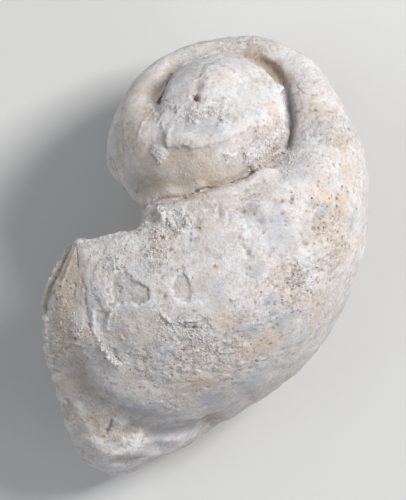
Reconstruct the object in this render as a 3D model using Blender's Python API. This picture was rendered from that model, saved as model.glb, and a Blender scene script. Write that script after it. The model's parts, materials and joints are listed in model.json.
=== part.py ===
"""A fossil sea snail: the stone that filled a coiled shell, lying with its spire turned up.

One solid, in metres, +Z up. The tube of the snail is swept along its coil, its turns are fused, and the
surface is worn, chipped and pitted. +Y runs from the broken mouth end to the spire, and the origin is
under the middle of the solid, on the plane of the small flat spot that it rests on.
"""

import math

import bmesh
import bpy
import numpy as np
from mathutils import Matrix, Vector, noise
from mathutils.bvhtree import BVHTree
from mathutils.kdtree import KDTree

NAME = "fossil_snail"
MM = 0.001

# The coil's axis leans back from straight up by this angle
TILT = 49.0
# Where the coil's own tip lies from the worn tip that shows
COIL_TIP = Vector((1.5, 0.1, 0.0)) * MM

# The coil, at its last turn's left side. Angles are in degrees, clockwise as seen from the tip
TURNS = 3.2
MOUTH_ANGLE = -46.0
GROWTH = 2.17
MIDDLE_RADIUS = 24.0 * MM
DROP = 54.7 * MM
HALF_WIDTH = 20.8 * MM
HALF_HEIGHT = 42.1 * MM
LEAN_OUT = 0.23
TAPER = 0.05
DROP_GROWTH = 0.41
HEIGHT_GROWTH = 0.07
SIDE_POWER = 1.05
HEIGHT_POWER = 0.96

# What is added to these by the end of the last half turn, at the mouth
LATE_WIDTH = 0.55
LATE_RADIUS = 0.05
LATE_HEIGHT = -0.24
LATE_LEAN_OUT = -0.50
LATE_TAPER = 0.10
LATE_HEIGHT_POWER = 0.26

# The mouth end slopes by this angle, starting from this angle of the coil
MOUTH_SLOPE = 8.0
SLOPE_START = -120.0

# How finely the coil is drawn, and how finely the solid is fused, eased and thinned
RINGS = 180
RING_POINTS = 48
VOXEL = 0.6 * MM
EASE_COIL = 4
EASE_NOTCH = 1
EASE_STONE = 2
TRIANGLES = 9400

# The point from which surface places are given: straight above, in the frame of the worn tip
EYE = Vector((0.0, -30.6, 1200.0)) * MM

# Surface places below are millimetres right of and above the worn tip, as seen from the eye

# How far the worn outline lies from the coil's own: places, and the move at each, both in millimetres
OUTLINE_MOVES = (
    ((33, -15), (-0.6, -0.1)),
    ((30, -2), (-0.8, -0.6)),
    ((18, 9), (0.4, 0.9)),
    ((8, 12), (0.2, 0.3)),
    ((-5, 11), (0.4, -1.4)),
    ((-15, 6), (1.8, -2.6)),
    ((-20, -6), (1.6, -1.2)),
    ((-27, -34), (-3.2, -0.2)),
    ((-31, -46), (-1.5, 0.0)),
    ((-30, -58), (1.2, 0.2)),
    ((-26, -68), (-1.2, -1.2)),
    ((-18, -73), (-1.6, -3.9)),
    ((-4, -70), (0.0, 0.6)),
    ((7, -65), (-0.3, 1.2)),
    ((18, -55), (0.1, 0.0)),
    ((30, -35), (0.9, -0.1)),
    ((3, -5), (0.0, 0.0)),
    ((3, -19), (0.0, 0.0)),
    ((0, -42), (0.0, 0.0)),
)

# The worn dome over the tip, round the coil's axis: its radius, and its height at the edge and the top
DOME_RADIUS = 12.0 * MM
DOME_EDGE = 0.6 * MM
DOME_TOP = 4.8 * MM
DOME_DEPTH = 5.0 * MM
DOME_SIDES = 48
DOME_FOOT_SHARE = 0.9
DOME_RING_SHARES = (0.9, 0.8, 0.65, 0.5, 0.35, 0.2, 0.05)

# The sheet of crust on the dome: its outline as seen from the eye, its thickness, and how far it thins out
CRUST_OUTLINE = (
    (-7.8, -1.4), (-7.2, 1.4), (-5.6, 4.0), (-2.6, 6.8), (1.4, 8.6), (6.4, 8.4), (11.2, 6.2),
    (14.6, 2.8), (16.4, -1.4), (16.6, -5.8), (15.2, -7.4), (12.0, -6.8), (8.4, -7.4), (4.4, -9.2),
    (0.4, -10.2), (-3.6, -10.0), (-7.0, -9.8), (-7.4, -7.6), (-8.4, -4.6),
)
CRUST_THICKNESS = 0.9 * MM
CRUST_THINNING = 0.5 * MM
CRUST_RAGGED_LENGTH = 2.2 * MM

# The notch broken out between the spire and the mouth, as seen from the eye, and how far it reaches
NOTCH_OUTLINE = (
    (-34, -8), (-19.4, -14.2), (-11.2, -23.0), (-15.0, -27.2), (-19.0, -27.4), (-23.6, -28.8),
    (-26.0, -28.7), (-34, -30),
)
NOTCH_TOP = 60 * MM
NOTCH_BOTTOM = -80 * MM

# The open channel beside the spire: its line along the dome's foot, and its size in millimetres
CHANNEL = ((7.4, 8.6), (12.6, 5.0), (15.4, 1.0), (16.5, -2.8), (16.5, -6.2), (15.4, -9.6), (13.6, -12))
CHANNEL_WIDTH = 4.2
CHANNEL_WALL = 0.5
CHANNEL_FADE = 5.0
CHANNEL_DEPTH = 3.2
CHANNEL_UNDERCUT = 1.6
SPIRE_MIDDLE = (4.2, -1.0)

# Grooves pressed straight down: the line, the half width and the depth
GROOVES = (
    # the slit on the left of the spire
    (((-6.2, 4.4), (-7.6, 2.0), (-8.8, -1.4)), 1.1, 3.6),
    # the seam under the last turn's upper edge
    (((16.2, -9.8), (13.4, -12.8), (10, -15.4), (5, -17.8), (-0.2, -18.8), (-3.2, -20.2), (-12, -23)), 1.0, 1.2),
    # the strip of broken face along the mouth's rim
    (((-26.6, -29.6), (-29.6, -35.4), (-31.2, -42)), 3.0, 1.4),
)

# Ridges and valleys: the line, the half width, and the height, which is below zero for a valley
LINES = (
    # the last turn's chipped upper edge
    (((14.8, -14.6), (10.6, -17.6), (5.4, -20.2), (0, -21.6), (-4, -23.2), (-10.5, -26.2)), 2.2, 0.7),
    # the smooth valley across the mouth end, and the lumpy ridge below it
    (((-28, -54), (-23.6, -59), (-17.6, -63.6), (-10.6, -66), (-4.6, -66.6), (2.4, -66)), 5.4, -1.7),
    (((-21, -68), (-16.5, -70.5), (-10, -71.5), (-4, -70.4), (0, -69.4)), 2.6, 1.0),
    # the ledge of crust beside the mouth
    (((-21.6, -31), (-22.8, -38), (-21.6, -46), (-18.4, -52), (-16, -55.5)), 1.6, 0.5),
)

# Lumps and dents: the place, the radius, and the height, which is below zero for a dent
SPOTS = (
    # lumps of sandy rock in the crease beside the spire, and one on the crust's edge
    ((13.2, -9.4), 3.6, 1.5),
    ((16.0, -11.6), 2.2, 1.0),
    ((10.2, -12.0), 1.6, 0.6),
    ((16.4, 1.8), 1.1, 1.5),
    ((-8.6, -11.8), 1.8, 0.7),
    # the drop-shaped hollow on the back
    ((-2.2, -38.2), 3.0, -0.7),
    ((-1.2, -35.4), 1.6, -0.5),
    # lumps and chips on the mouth end
    ((-20.4, -71), 4.4, 1.2),
    ((-25.0, -65.4), 3.0, 1.0),
    ((-17.2, -69.4), 1.8, -1.2),
    ((-8.4, -70.2), 1.8, -1.6),
    ((-13, -67.5), 2.4, 0.7),
    ((-25.0, -47), 5.0, 0.7),
    ((16, -35.5), 3.4, -0.4),
)

# How much the edges of all these wander, and over what length
RAGGED = 0.9
RAGGED_LENGTH = 1.6 * MM

# Unevenness all over, and more of it on the broken face at the mouth: the length of its waves and its height
UNEVEN = ((9.0, 0.55), (3.6, 0.26))
MOUTH_UNEVEN = ((8.0, 1.8), (3.0, 0.5))
MOUTH_SKIN = 3.0 * MM
MOUTH_STEPS = 24

# Height of the resting cut above the lowest point
CUT = 1.2 * MM

COLOUR = (0.50, 0.47, 0.45, 1.0)
ROUGHNESS = 0.85
SHARP_ANGLE = 40.0


def main():
    clear_scene()
    coil = link("coil", coil_and_dome())
    add_remesh(coil)
    add_smooth(coil, EASE_COIL)
    stone = baked(coil)
    drop_pockets(stone)
    fit_outline(stone)
    whole = link("whole", stone)
    notch = link("notch", notch_prism())
    add_cut(whole, notch)
    add_remesh(whole)
    add_smooth(whole, EASE_NOTCH)
    broken = baked(whole)
    bpy.data.objects.remove(notch, do_unlink=True)
    wear_surface(broken)
    snail = link(NAME, broken)
    add_remesh(snail)
    add_smooth(snail, EASE_STONE)
    add_decimate(snail)
    snail.data = baked(snail, keep=True)
    rest_flat(snail.data)
    dress(snail)


def clear_scene():
    for old in list(bpy.data.objects):
        bpy.data.objects.remove(old, do_unlink=True)


def link(name, mesh):
    obj = bpy.data.objects.new(name, mesh)
    bpy.context.collection.objects.link(obj)
    return obj


def finished(bm, name):
    mesh = bpy.data.meshes.new(name)
    bm.to_mesh(mesh)
    bm.free()
    return mesh


# The coil


def coil_ring(degrees):
    """Points round the tube at an angle of the coil, in the coil's frame: tip at the origin, axis +Z."""
    around = np.linspace(0, 2 * math.pi, RING_POINTS, endpoint=False)
    up = np.sin(around)
    out = np.cos(around)
    mouthward = max(0.0, (degrees - SLOPE_START) / (MOUTH_ANGLE - SLOPE_START)) ** 2
    turn = np.radians(degrees + MOUTH_SLOPE * mouthward * up)
    size = GROWTH ** (turn / (2 * math.pi))
    late = np.maximum(0.0, turn / math.pi + 1) ** 2
    height = np.sign(up) * np.abs(up) ** (HEIGHT_POWER + LATE_HEIGHT_POWER * late)
    width = np.sign(out) * np.abs(out) ** SIDE_POWER * (1 + (TAPER + LATE_TAPER * late) * up)
    radius = MIDDLE_RADIUS * (1 + LATE_RADIUS * late) + HALF_WIDTH * (1 + LATE_WIDTH * late) * width
    radius = size * (radius + (LEAN_OUT + LATE_LEAN_OUT * late) * HALF_HEIGHT * height)
    rise = size ** (1 + HEIGHT_GROWTH) * HALF_HEIGHT * (1 + LATE_HEIGHT * late) * height
    rise = rise - size ** (1 + DROP_GROWTH) * DROP
    return np.stack([-radius * np.cos(turn), radius * np.sin(turn), rise], axis=1)


def dome_rings():
    """Rings of the dome, in the coil's frame, from its underside over its edge to its top."""
    profile = [(DOME_FOOT_SHARE, DOME_EDGE - DOME_DEPTH), (1.0, DOME_EDGE)]
    for share in DOME_RING_SHARES:
        profile.append((share, DOME_EDGE + (DOME_TOP - DOME_EDGE) * (1 - share * share)))
    turn = np.linspace(0, 2 * math.pi, DOME_SIDES, endpoint=False)
    rings = []
    for share, height in profile:
        x = DOME_RADIUS * share * np.cos(turn)
        y = DOME_RADIUS * share * np.sin(turn)
        rings.append(np.column_stack([x, y, np.full(DOME_SIDES, height)]))
    return rings


def coil_and_dome():
    """The bare coil and the dome over its tip, as two closed shells that overlap."""
    bm = bmesh.new()
    add_tube(bm, [coil_ring(degrees) for degrees in np.linspace(-360 * TURNS, MOUTH_ANGLE, RINGS)])
    add_tube(bm, dome_rings())
    bmesh.ops.recalc_face_normals(bm, faces=bm.faces)
    bm.transform(Matrix.Translation(COIL_TIP) @ Matrix.Rotation(math.radians(-TILT), 4, "X"))
    return finished(bm, "coil")


def add_tube(bm, rings):
    """A closed shell through rings of points, with a flat face on its first and last ring."""
    rings = [[bm.verts.new(point) for point in ring] for ring in rings]
    for ring, following in zip(rings, rings[1:]):
        for i in range(len(ring)):
            bm.faces.new((ring[i - 1], ring[i], following[i], following[i - 1]))
    bm.faces.new(rings[0])
    bm.faces.new(rings[-1])


# Fusing, easing, cutting and thinning


def add_remesh(obj):
    remesh = obj.modifiers.new("Fuse", "REMESH")
    remesh.mode = "VOXEL"
    remesh.voxel_size = VOXEL


def add_smooth(obj, iterations):
    smooth = obj.modifiers.new("Ease", "SMOOTH")
    smooth.factor = 0.5
    smooth.iterations = iterations


def add_cut(obj, cutter):
    cutter.hide_render = True
    cutter.display_type = "WIRE"
    cut = obj.modifiers.new("Cut", "BOOLEAN")
    cut.operation = "DIFFERENCE"
    cut.solver = "EXACT"
    cut.object = cutter


def add_decimate(obj):
    graph = bpy.context.evaluated_depsgraph_get()
    mesh = obj.evaluated_get(graph).to_mesh()
    mesh.calc_loop_triangles()
    thin = obj.modifiers.new("Thin", "DECIMATE")
    thin.ratio = TRIANGLES / len(mesh.loop_triangles)
    thin.use_collapse_triangulate = True
    obj.evaluated_get(graph).to_mesh_clear()


def baked(obj, keep=False):
    """The object's mesh with its modifiers applied; the object goes unless it is kept."""
    graph = bpy.context.evaluated_depsgraph_get()
    mesh = bpy.data.meshes.new_from_object(obj.evaluated_get(graph))
    if keep:
        obj.modifiers.clear()
    else:
        bpy.data.objects.remove(obj, do_unlink=True)
    return mesh


def drop_pockets(mesh):
    """Removes the tiny closed pockets that fusing leaves inside the stone."""
    bm = bmesh.new()
    bm.from_mesh(mesh)
    outer = set()
    reached = [max(bm.verts, key=lambda vert: vert.co.z)]
    while reached:
        vert = reached.pop()
        if vert not in outer:
            outer.add(vert)
            reached.extend(edge.other_vert(vert) for edge in vert.link_edges)
    bmesh.ops.delete(bm, geom=[vert for vert in bm.verts if vert not in outer], context="VERTS")
    bm.to_mesh(mesh)
    bm.free()


def notch_prism():
    """A prism through the whole stone along the lines of sight, on the notch's outline."""
    bm = bmesh.new()
    near = [bm.verts.new(sight_point(x, y, NOTCH_TOP)) for x, y in NOTCH_OUTLINE]
    far = [bm.verts.new(sight_point(x, y, NOTCH_BOTTOM)) for x, y in NOTCH_OUTLINE]
    bm.faces.new(near)
    bm.faces.new(far)
    for i in range(len(near)):
        bm.faces.new((near[i - 1], near[i], far[i], far[i - 1]))
    bmesh.ops.recalc_face_normals(bm, faces=bm.faces)
    return finished(bm, "notch")


def rest_flat(mesh):
    """Cuts the underside flat and puts the origin on the cut, under the middle of the stone."""
    bm = bmesh.new()
    bm.from_mesh(mesh)
    floor = min(vert.co.z for vert in bm.verts) + CUT
    everything = bm.verts[:] + bm.edges[:] + bm.faces[:]
    cut = bmesh.ops.bisect_plane(bm, geom=everything, plane_co=(0, 0, floor), plane_no=(0, 0, -1), clear_outer=True)
    edges = [part for part in cut["geom_cut"] if isinstance(part, bmesh.types.BMEdge)]
    bmesh.ops.holes_fill(bm, edges=edges, sides=0)
    xs = [vert.co.x for vert in bm.verts]
    ys = [vert.co.y for vert in bm.verts]
    middle = Vector((min(xs) + max(xs), min(ys) + max(ys), 2 * floor)) / 2
    bmesh.ops.translate(bm, verts=bm.verts, vec=-middle)
    bm.to_mesh(mesh)
    bm.free()
    return middle


# Forms on the stone


def fit_outline(mesh):
    """Moves the stone sideways, as a bent thin plate would, so that its outline is the worn one."""
    points = read_points(mesh)
    places = np.array([place for place, move in OUTLINE_MOVES], float) * MM
    moves = np.array([move for place, move in OUTLINE_MOVES], float) * MM
    flat = np.column_stack([np.ones(len(places)), places])
    bend = thin_plate(places, places)
    system = np.block([[bend, flat], [flat.T, np.zeros((3, 3))]])
    weights = np.linalg.solve(system, np.vstack([moves, np.zeros((3, 2))]))
    spots = seen(points)
    level = np.column_stack([np.ones(len(spots)), spots])
    points[:, :2] += np.hstack([thin_plate(spots, places), level]) @ weights
    write_points(mesh, points)


def thin_plate(spots, places):
    """The bending of a thin plate at each spot from a unit load at each place."""
    distance = np.linalg.norm(spots[:, None] - places[None], axis=2) / MM
    return distance ** 2 * np.log(distance + 1e-9)


def wear_surface(mesh):
    """Raises the crust, ridges and lumps, roughens the stone, then presses in the channel and the grooves."""
    points = read_points(mesh)
    normals = np.empty(len(mesh.vertices) * 3, np.float32)
    mesh.vertices.foreach_get("normal", normals)
    normals = normals.reshape(-1, 3).astype(float)
    top = BVHTree.FromPolygons([vert.co for vert in mesh.vertices], [face.vertices for face in mesh.polygons])
    ragged = 1 + RAGGED * waves(points, RAGGED_LENGTH)
    height = CRUST_THICKNESS * crust_share(points) * (normals[:, 2] > 0)
    for line, half_width, rise in LINES:
        near, place = nearest_on_line(points, on_top(top, line))
        height += rise * MM * eased(near * ragged / (half_width * MM))
    for place, radius, rise in SPOTS:
        near = np.linalg.norm(points - on_top(top, [place])[0], axis=1)
        height += rise * MM * eased(near * ragged / (radius * MM))
    for length, rise in UNEVEN:
        height += rise * MM * waves(points, length * MM)
    skin = mouth_share(points)
    for length, rise in MOUTH_UNEVEN:
        height += rise * MM * skin * waves(points, length * MM)
    points = points + normals * height[:, None]
    points -= channel_push(points, on_top(top, CHANNEL))
    for line, half_width, depth in GROOVES:
        near, place = nearest_on_line(points, on_top(top, line))
        points[:, 2] -= depth * MM * eased(near / (half_width * MM))
    write_points(mesh, points)


def crust_share(points):
    """1 inside the crust's outline as seen from the eye, easing to 0 just outside it."""
    spots = seen(points) / MM
    outline = np.array(CRUST_OUTLINE, float)
    inside = np.zeros(len(spots), bool)
    nearest = np.full(len(spots), np.inf)
    for start, end in zip(outline, np.roll(outline, -1, axis=0)):
        if start[1] != end[1]:
            crosses = (start[1] > spots[:, 1]) != (end[1] > spots[:, 1])
            level = start[0] + (spots[:, 1] - start[1]) * (end[0] - start[0]) / (end[1] - start[1])
            inside ^= crosses & (spots[:, 0] < level)
        nearest = np.minimum(nearest, nearest_on_line(spots, [start, end])[0])
    outside = np.where(inside, -nearest, nearest) + RAGGED * waves(points, CRUST_RAGGED_LENGTH)
    return eased(0.5 + outside * MM / CRUST_THINNING)


def channel_push(points, line):
    """How far each point goes down along the coil's axis, and in under the dome, to open the channel."""
    near, foot = nearest_on_line(points, line)
    spot = seen(points)
    place = seen(foot)
    middle = np.array(SPIRE_MIDDLE) * MM
    out = np.linalg.norm(spot - middle, axis=1) - np.linalg.norm(place - middle, axis=1)
    to_end = np.minimum(np.linalg.norm(foot - line[0], axis=1), np.linalg.norm(foot - line[-1], axis=1))
    share = (1 - eased(to_end / (CHANNEL_FADE * MM))) * eased(near / (CHANNEL_WIDTH * MM))
    share *= np.clip(out / (CHANNEL_WALL * MM), 0, 1)
    lean = math.radians(TILT)
    down = CHANNEL_DEPTH * MM * np.array([0, math.sin(lean), math.cos(lean)])
    away = (place - middle) / np.linalg.norm(place - middle, axis=1)[:, None]
    inward = CHANNEL_UNDERCUT * MM * np.column_stack([away, np.zeros(len(away))])
    return share[:, None] * (down + inward)


def mouth_share(points):
    """1 on the broken face at the mouth, easing to 0 away from it."""
    pose = np.array(Matrix.Rotation(math.radians(-TILT), 3, "X"))
    ring = coil_ring(MOUTH_ANGLE) @ pose.T + np.array(COIL_TIP)
    middle = ring.mean(axis=0)
    face = KDTree(len(ring) * MOUTH_STEPS)
    for share in np.linspace(0, 1, MOUTH_STEPS):
        for point in middle + (ring - middle) * share:
            face.insert(point, 0)
    face.balance()
    near = np.array([face.find(point)[2] for point in points])
    return eased(near / MOUTH_SKIN)


# Places seen from the eye


def seen(points):
    """Where points show on the worn tip's level plane, from the eye."""
    eye = np.array(EYE)
    scale = eye[2] / (eye[2] - points[:, 2])
    return eye[:2] + (points[:, :2] - eye[:2]) * scale[:, None]


def sight_point(x, y, height):
    """The point at a height on the line of sight through a place given in millimetres."""
    place = Vector((x, y, 0)) * MM
    return place.lerp(EYE, height / EYE.z)


def on_top(top, line):
    """A smooth line through the given places, each where the line of sight meets the stone."""
    places = []
    for x, y in smooth_line(line):
        direction = (Vector((x, y, 0)) * MM - EYE).normalized()
        hit = top.ray_cast(EYE, direction)[0]
        if hit is not None:
            places.append(hit)
    return np.array(places)


def smooth_line(line, steps=4):
    """Points on a Catmull-Rom curve through the given ones; one place alone is kept as it is."""
    if len(line) == 1:
        return list(line)
    knots = [np.array(place, float) for place in (line[0], *line, line[-1])]
    points = []
    for before, start, end, after in zip(knots, knots[1:], knots[2:], knots[3:]):
        for t in np.arange(steps) / steps:
            point = 2 * start + (end - before) * t + (2 * before - 5 * start + 4 * end - after) * t ** 2
            points.append((point + (3 * start - before - 3 * end + after) * t ** 3) / 2)
    points.append(knots[-1])
    return points


# Small tools


def nearest_on_line(points, line):
    """Distance from each point to a line of straight steps, and the nearest place on it."""
    nearest = np.full(len(points), np.inf)
    places = np.zeros_like(points)
    for start, end in zip(line, line[1:]):
        along = end - start
        share = np.clip((points - start) @ along / max(along @ along, 1e-18), 0, 1)
        place = start + share[:, None] * along
        distance = np.linalg.norm(points - place, axis=1)
        places[distance < nearest] = place[distance < nearest]
        nearest = np.minimum(nearest, distance)
    return nearest, places


def waves(points, length):
    """Soft noise from about -0.5 to 0.5."""
    return np.array([noise.noise(Vector(point) / length) for point in points])


def eased(distance):
    """1 at distance 0, easing to 0 at distance 1."""
    left = np.clip(1 - distance, 0, 1)
    return left * left * (3 - 2 * left)


def read_points(mesh):
    points = np.empty(len(mesh.vertices) * 3, np.float32)
    mesh.vertices.foreach_get("co", points)
    return points.reshape(-1, 3).astype(float)


def write_points(mesh, points):
    mesh.vertices.foreach_set("co", points.astype(np.float32).ravel())
    mesh.update()


def dress(obj):
    stone = bpy.data.materials.new("stone")
    stone.use_nodes = True
    shader = stone.node_tree.nodes["Principled BSDF"]
    shader.inputs["Base Color"].default_value = COLOUR
    shader.inputs["Roughness"].default_value = ROUGHNESS
    shader.inputs["Metallic"].default_value = 0.0
    obj.data.materials.append(stone)
    obj.data.shade_smooth()
    obj.data.set_sharp_from_angle(angle=math.radians(SHARP_ANGLE))


if __name__ == "__main__":
    main()
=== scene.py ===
"""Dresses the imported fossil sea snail: a fine worn stone with its crusts, cracks, pits and stains, in a studio."""

import json
import logging
from dataclasses import dataclass
from enum import Enum
from random import Random

import bpy
import numpy as np
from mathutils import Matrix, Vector, noise
from mathutils.bvhtree import BVHTree

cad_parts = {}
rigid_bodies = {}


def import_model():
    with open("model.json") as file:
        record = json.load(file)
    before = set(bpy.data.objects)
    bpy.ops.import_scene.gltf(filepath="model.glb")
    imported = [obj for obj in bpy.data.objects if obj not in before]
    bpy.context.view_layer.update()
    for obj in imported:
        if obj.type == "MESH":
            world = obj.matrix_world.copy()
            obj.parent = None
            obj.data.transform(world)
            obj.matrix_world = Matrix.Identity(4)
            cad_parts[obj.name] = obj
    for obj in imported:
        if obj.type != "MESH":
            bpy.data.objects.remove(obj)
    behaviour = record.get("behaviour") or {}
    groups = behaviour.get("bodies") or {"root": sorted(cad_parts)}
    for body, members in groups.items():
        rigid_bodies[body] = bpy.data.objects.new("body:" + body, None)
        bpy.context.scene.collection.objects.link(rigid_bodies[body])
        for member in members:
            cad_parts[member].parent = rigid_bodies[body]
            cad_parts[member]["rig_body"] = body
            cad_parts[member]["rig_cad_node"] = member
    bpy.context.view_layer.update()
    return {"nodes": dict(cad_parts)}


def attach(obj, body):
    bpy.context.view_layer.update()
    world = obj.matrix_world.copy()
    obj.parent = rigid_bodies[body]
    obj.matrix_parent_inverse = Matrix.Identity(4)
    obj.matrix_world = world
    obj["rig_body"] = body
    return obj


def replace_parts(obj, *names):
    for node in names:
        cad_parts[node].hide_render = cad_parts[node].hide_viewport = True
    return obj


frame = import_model()

MM = 0.001
NODE = "fossil_snail"
LOG = logging.getLogger("fossil")

# How steeply a crumb falls to its edge, and the height that crumbs have on average
CRUMB_FALL = 1.25
CRUMB_MIDDLE = 0.45

# Keeps the length of a step between two equal places from being zero
NO_LENGTH = 1e-18

# How far a line's wandering edges can reach, against its own reach
EDGE_MARGIN = 2

# The attribute that tells the finish how hollow the surface is, which it paints as shade in hollows and as light on
# ridges
HOLLOW_SHADING = "hollow"

Place = tuple[float, float]
Colour = tuple[float, float, float]
Span = tuple[float, float]
Socket = bpy.types.NodeSocket


# Small tools for numbers


def eased(distance: np.ndarray) -> np.ndarray:
    """Falls softly from 1 at distance 0 to 0 at distance 1."""
    left = np.clip(1 - distance, 0, 1)
    return left * left * (3 - 2 * left)


def waves(points: np.ndarray, length: float) -> np.ndarray:
    """Soft noise from about -0.5 to 0.5.

    Args:
        points: Places in metres, one row each.
        length: Length of a wave in millimetres.

    Returns:
        One value for each point.
    """
    scale = 1 / (length * MM)
    return np.array([noise.noise(Vector(point) * scale) for point in points])


def crumbs(points: np.ndarray, size: float) -> np.ndarray:
    """Rounded crumbs beside each other, 1 on top of each and 0 between them.

    Args:
        points: Places in metres, one row each.
        size: Width of a crumb in millimetres.

    Returns:
        One value for each point.
    """
    scale = 1 / (size * MM)
    near = np.array([noise.voronoi(Vector(point) * scale)[0][0] for point in points])
    return np.clip(1 - near * CRUMB_FALL, 0, 1)


def curve(places: tuple[Place, ...], steps: int = 5) -> list[Place]:
    """Points on a smooth curve through the given places.

    Args:
        places: Two or more places on the line.
        steps: How many points to each stretch.

    Returns:
        The points, from the first place to the last.
    """
    knots = [np.array(place, float) for place in (places[0], *places, places[-1])]
    points = []
    for before, start, end, after in zip(knots, knots[1:], knots[2:], knots[3:]):
        for t in np.arange(steps) / steps:
            point = 2 * start + (end - before) * t + (2 * before - 5 * start + 4 * end - after) * t ** 2
            point = point + (3 * start - before - 3 * end + after) * t ** 3
            points.append(tuple(point / 2))
    points.append(tuple(knots[-1]))
    return points


def distance_to_line(points: np.ndarray, line: np.ndarray) -> tuple[np.ndarray, np.ndarray]:
    """Distance from each point to a line of straight steps, and the share of the line where it is nearest.

    Args:
        points: Places, one row each.
        line: Corners of the line, one row each.

    Returns:
        The distances, and the shares from 0 to 1 along the line.
    """
    nearest = np.full(len(points), np.inf)
    where = np.zeros(len(points))
    for count, (start, end) in enumerate(zip(line, line[1:])):
        along = end - start
        share = np.clip((points - start) @ along / max(along @ along, NO_LENGTH), 0, 1)
        distance = np.linalg.norm(points - start - share[:, None] * along, axis=1)
        closer = distance < nearest
        nearest[closer] = distance[closer]
        where[closer] = (count + share[closer]) / (len(line) - 1)
    return nearest, where


def read_off(where: np.ndarray, values: np.ndarray) -> np.ndarray:
    """What stands at each place on a line, between the values at its corners.

    Args:
        where: Shares from 0 to 1 along the line.
        values: What stands at the line's corners, one row each.

    Returns:
        One row for each place.
    """
    corners = np.linspace(0, 1, len(values))
    return np.column_stack([np.interp(where, corners, column) for column in values.T])


def upward(normals: np.ndarray, gain: float) -> np.ndarray:
    """1 where the surface looks up, and 0 where it is upright or looks down.

    Args:
        normals: The surface's direction at each point.
        gain: How soon it is 1 as the surface turns upwards.

    Returns:
        One value for each point.
    """
    return np.clip(normals[:, 2] * gain, 0, 1)


def turned_away(normals: np.ndarray, start: float, gain: float) -> np.ndarray:
    """0 where the camera sees the surface, and 1 where it looks down.

    Args:
        normals: The surface's direction at each point.
        start: How far up the surface still looks where the value leaves 0.
        gain: How soon it is 1 as the surface turns downwards.

    Returns:
        One value for each point.
    """
    return np.clip((start - normals[:, 2]) * gain, 0, 1)


# What lies on the stone. Places are millimetres to the right of and above the spire's tip, as the camera sees them.


class Way(Enum):
    """Which way a mark moves the stone."""

    OUT = "along the surface's own direction"
    UP = "straight up, towards the camera"


class Stain(Enum):
    """What a patch of the surface is stained with. Some dirt, blue and brown marks are painted shade, and some pale
    ones painted light.
    """

    TAN = "tan"
    BLUE = "blue"
    BROWN = "brown"
    PALE = "pale"
    # dirt in pits, and painted shade in creases, cracks, the channel and the valley
    DIRT_AND_SHADE = "dirt"
    ROUGH = "rough"
    PORES = "pores"


@dataclass(frozen=True)
class Track:
    """A ridge or a groove along a line. Lengths are in millimetres.

    Attributes:
        places: Places on the line.
        half_width: Half its width.
        rise: Its height, below zero for a groove.
        way: Which way the stone moves.
        ragged: How much its edges wander.
        crumbly: How much it is broken up into crumbs, from 0 to 1.
    """

    places: tuple[Place, ...]
    half_width: float
    rise: float
    way: Way = Way.OUT
    ragged: float = 0.9
    crumbly: float = 0.0


@dataclass(frozen=True)
class Patch:
    """A round patch of stain.

    Attributes:
        stain: What it is stained with.
        place: Its middle.
        radius: Its radius in millimetres.
        strength: How strong it is, from 0 to 1.
    """

    stain: Stain
    place: Place
    radius: float
    strength: float


@dataclass(frozen=True)
class Streak:
    """A stain along a line.

    Attributes:
        stain: What it is stained with.
        places: Places on the line.
        half_width: Half its width in millimetres.
        strength: How strong it is, from 0 to 1.
    """

    stain: Stain
    places: tuple[Place, ...]
    half_width: float
    strength: float


@dataclass(frozen=True)
class Sheet:
    """A thin sheet of crust, or a place where one has broken away, with a crisp wandering edge.

    Lengths are in millimetres.

    Attributes:
        outline: Its corners.
        thickness: Its thickness, below zero for a recess.
        edge: How wide its sloping edge is.
        ragged: How far its edge wanders.
    """

    outline: tuple[Place, ...]
    thickness: float
    edge: float = 0.45
    ragged: float = 0.7

    def share(self, spots: np.ndarray, wander: np.ndarray) -> np.ndarray:
        """1 on the sheet, easing to 0 across its edge.

        Args:
            spots: Where the points show, in millimetres.
            wander: Noise that makes the edge wander.

        Returns:
            The share of the sheet at each point.
        """
        outline = np.array(self.outline, float)
        share = np.zeros(len(spots))
        margin = self.edge + self.ragged
        close = ((spots > outline.min(axis=0) - margin) & (spots < outline.max(axis=0) + margin)).all(axis=1)
        near = spots[close]
        inside = np.zeros(len(near), bool)
        for start, end in zip(outline, np.roll(outline, -1, axis=0)):
            if start[1] != end[1]:
                crosses = (start[1] > near[:, 1]) != (end[1] > near[:, 1])
                level = start[0] + (near[:, 1] - start[1]) * (end[0] - start[0]) / (end[1] - start[1])
                inside ^= crosses & (near[:, 0] < level)
        nearest = distance_to_line(near, np.vstack([outline, outline[:1]]))[0]
        outside = np.where(inside, -nearest, nearest) + self.ragged * wander[close]
        share[close] = eased(0.5 + outside / self.edge)
        return share


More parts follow.
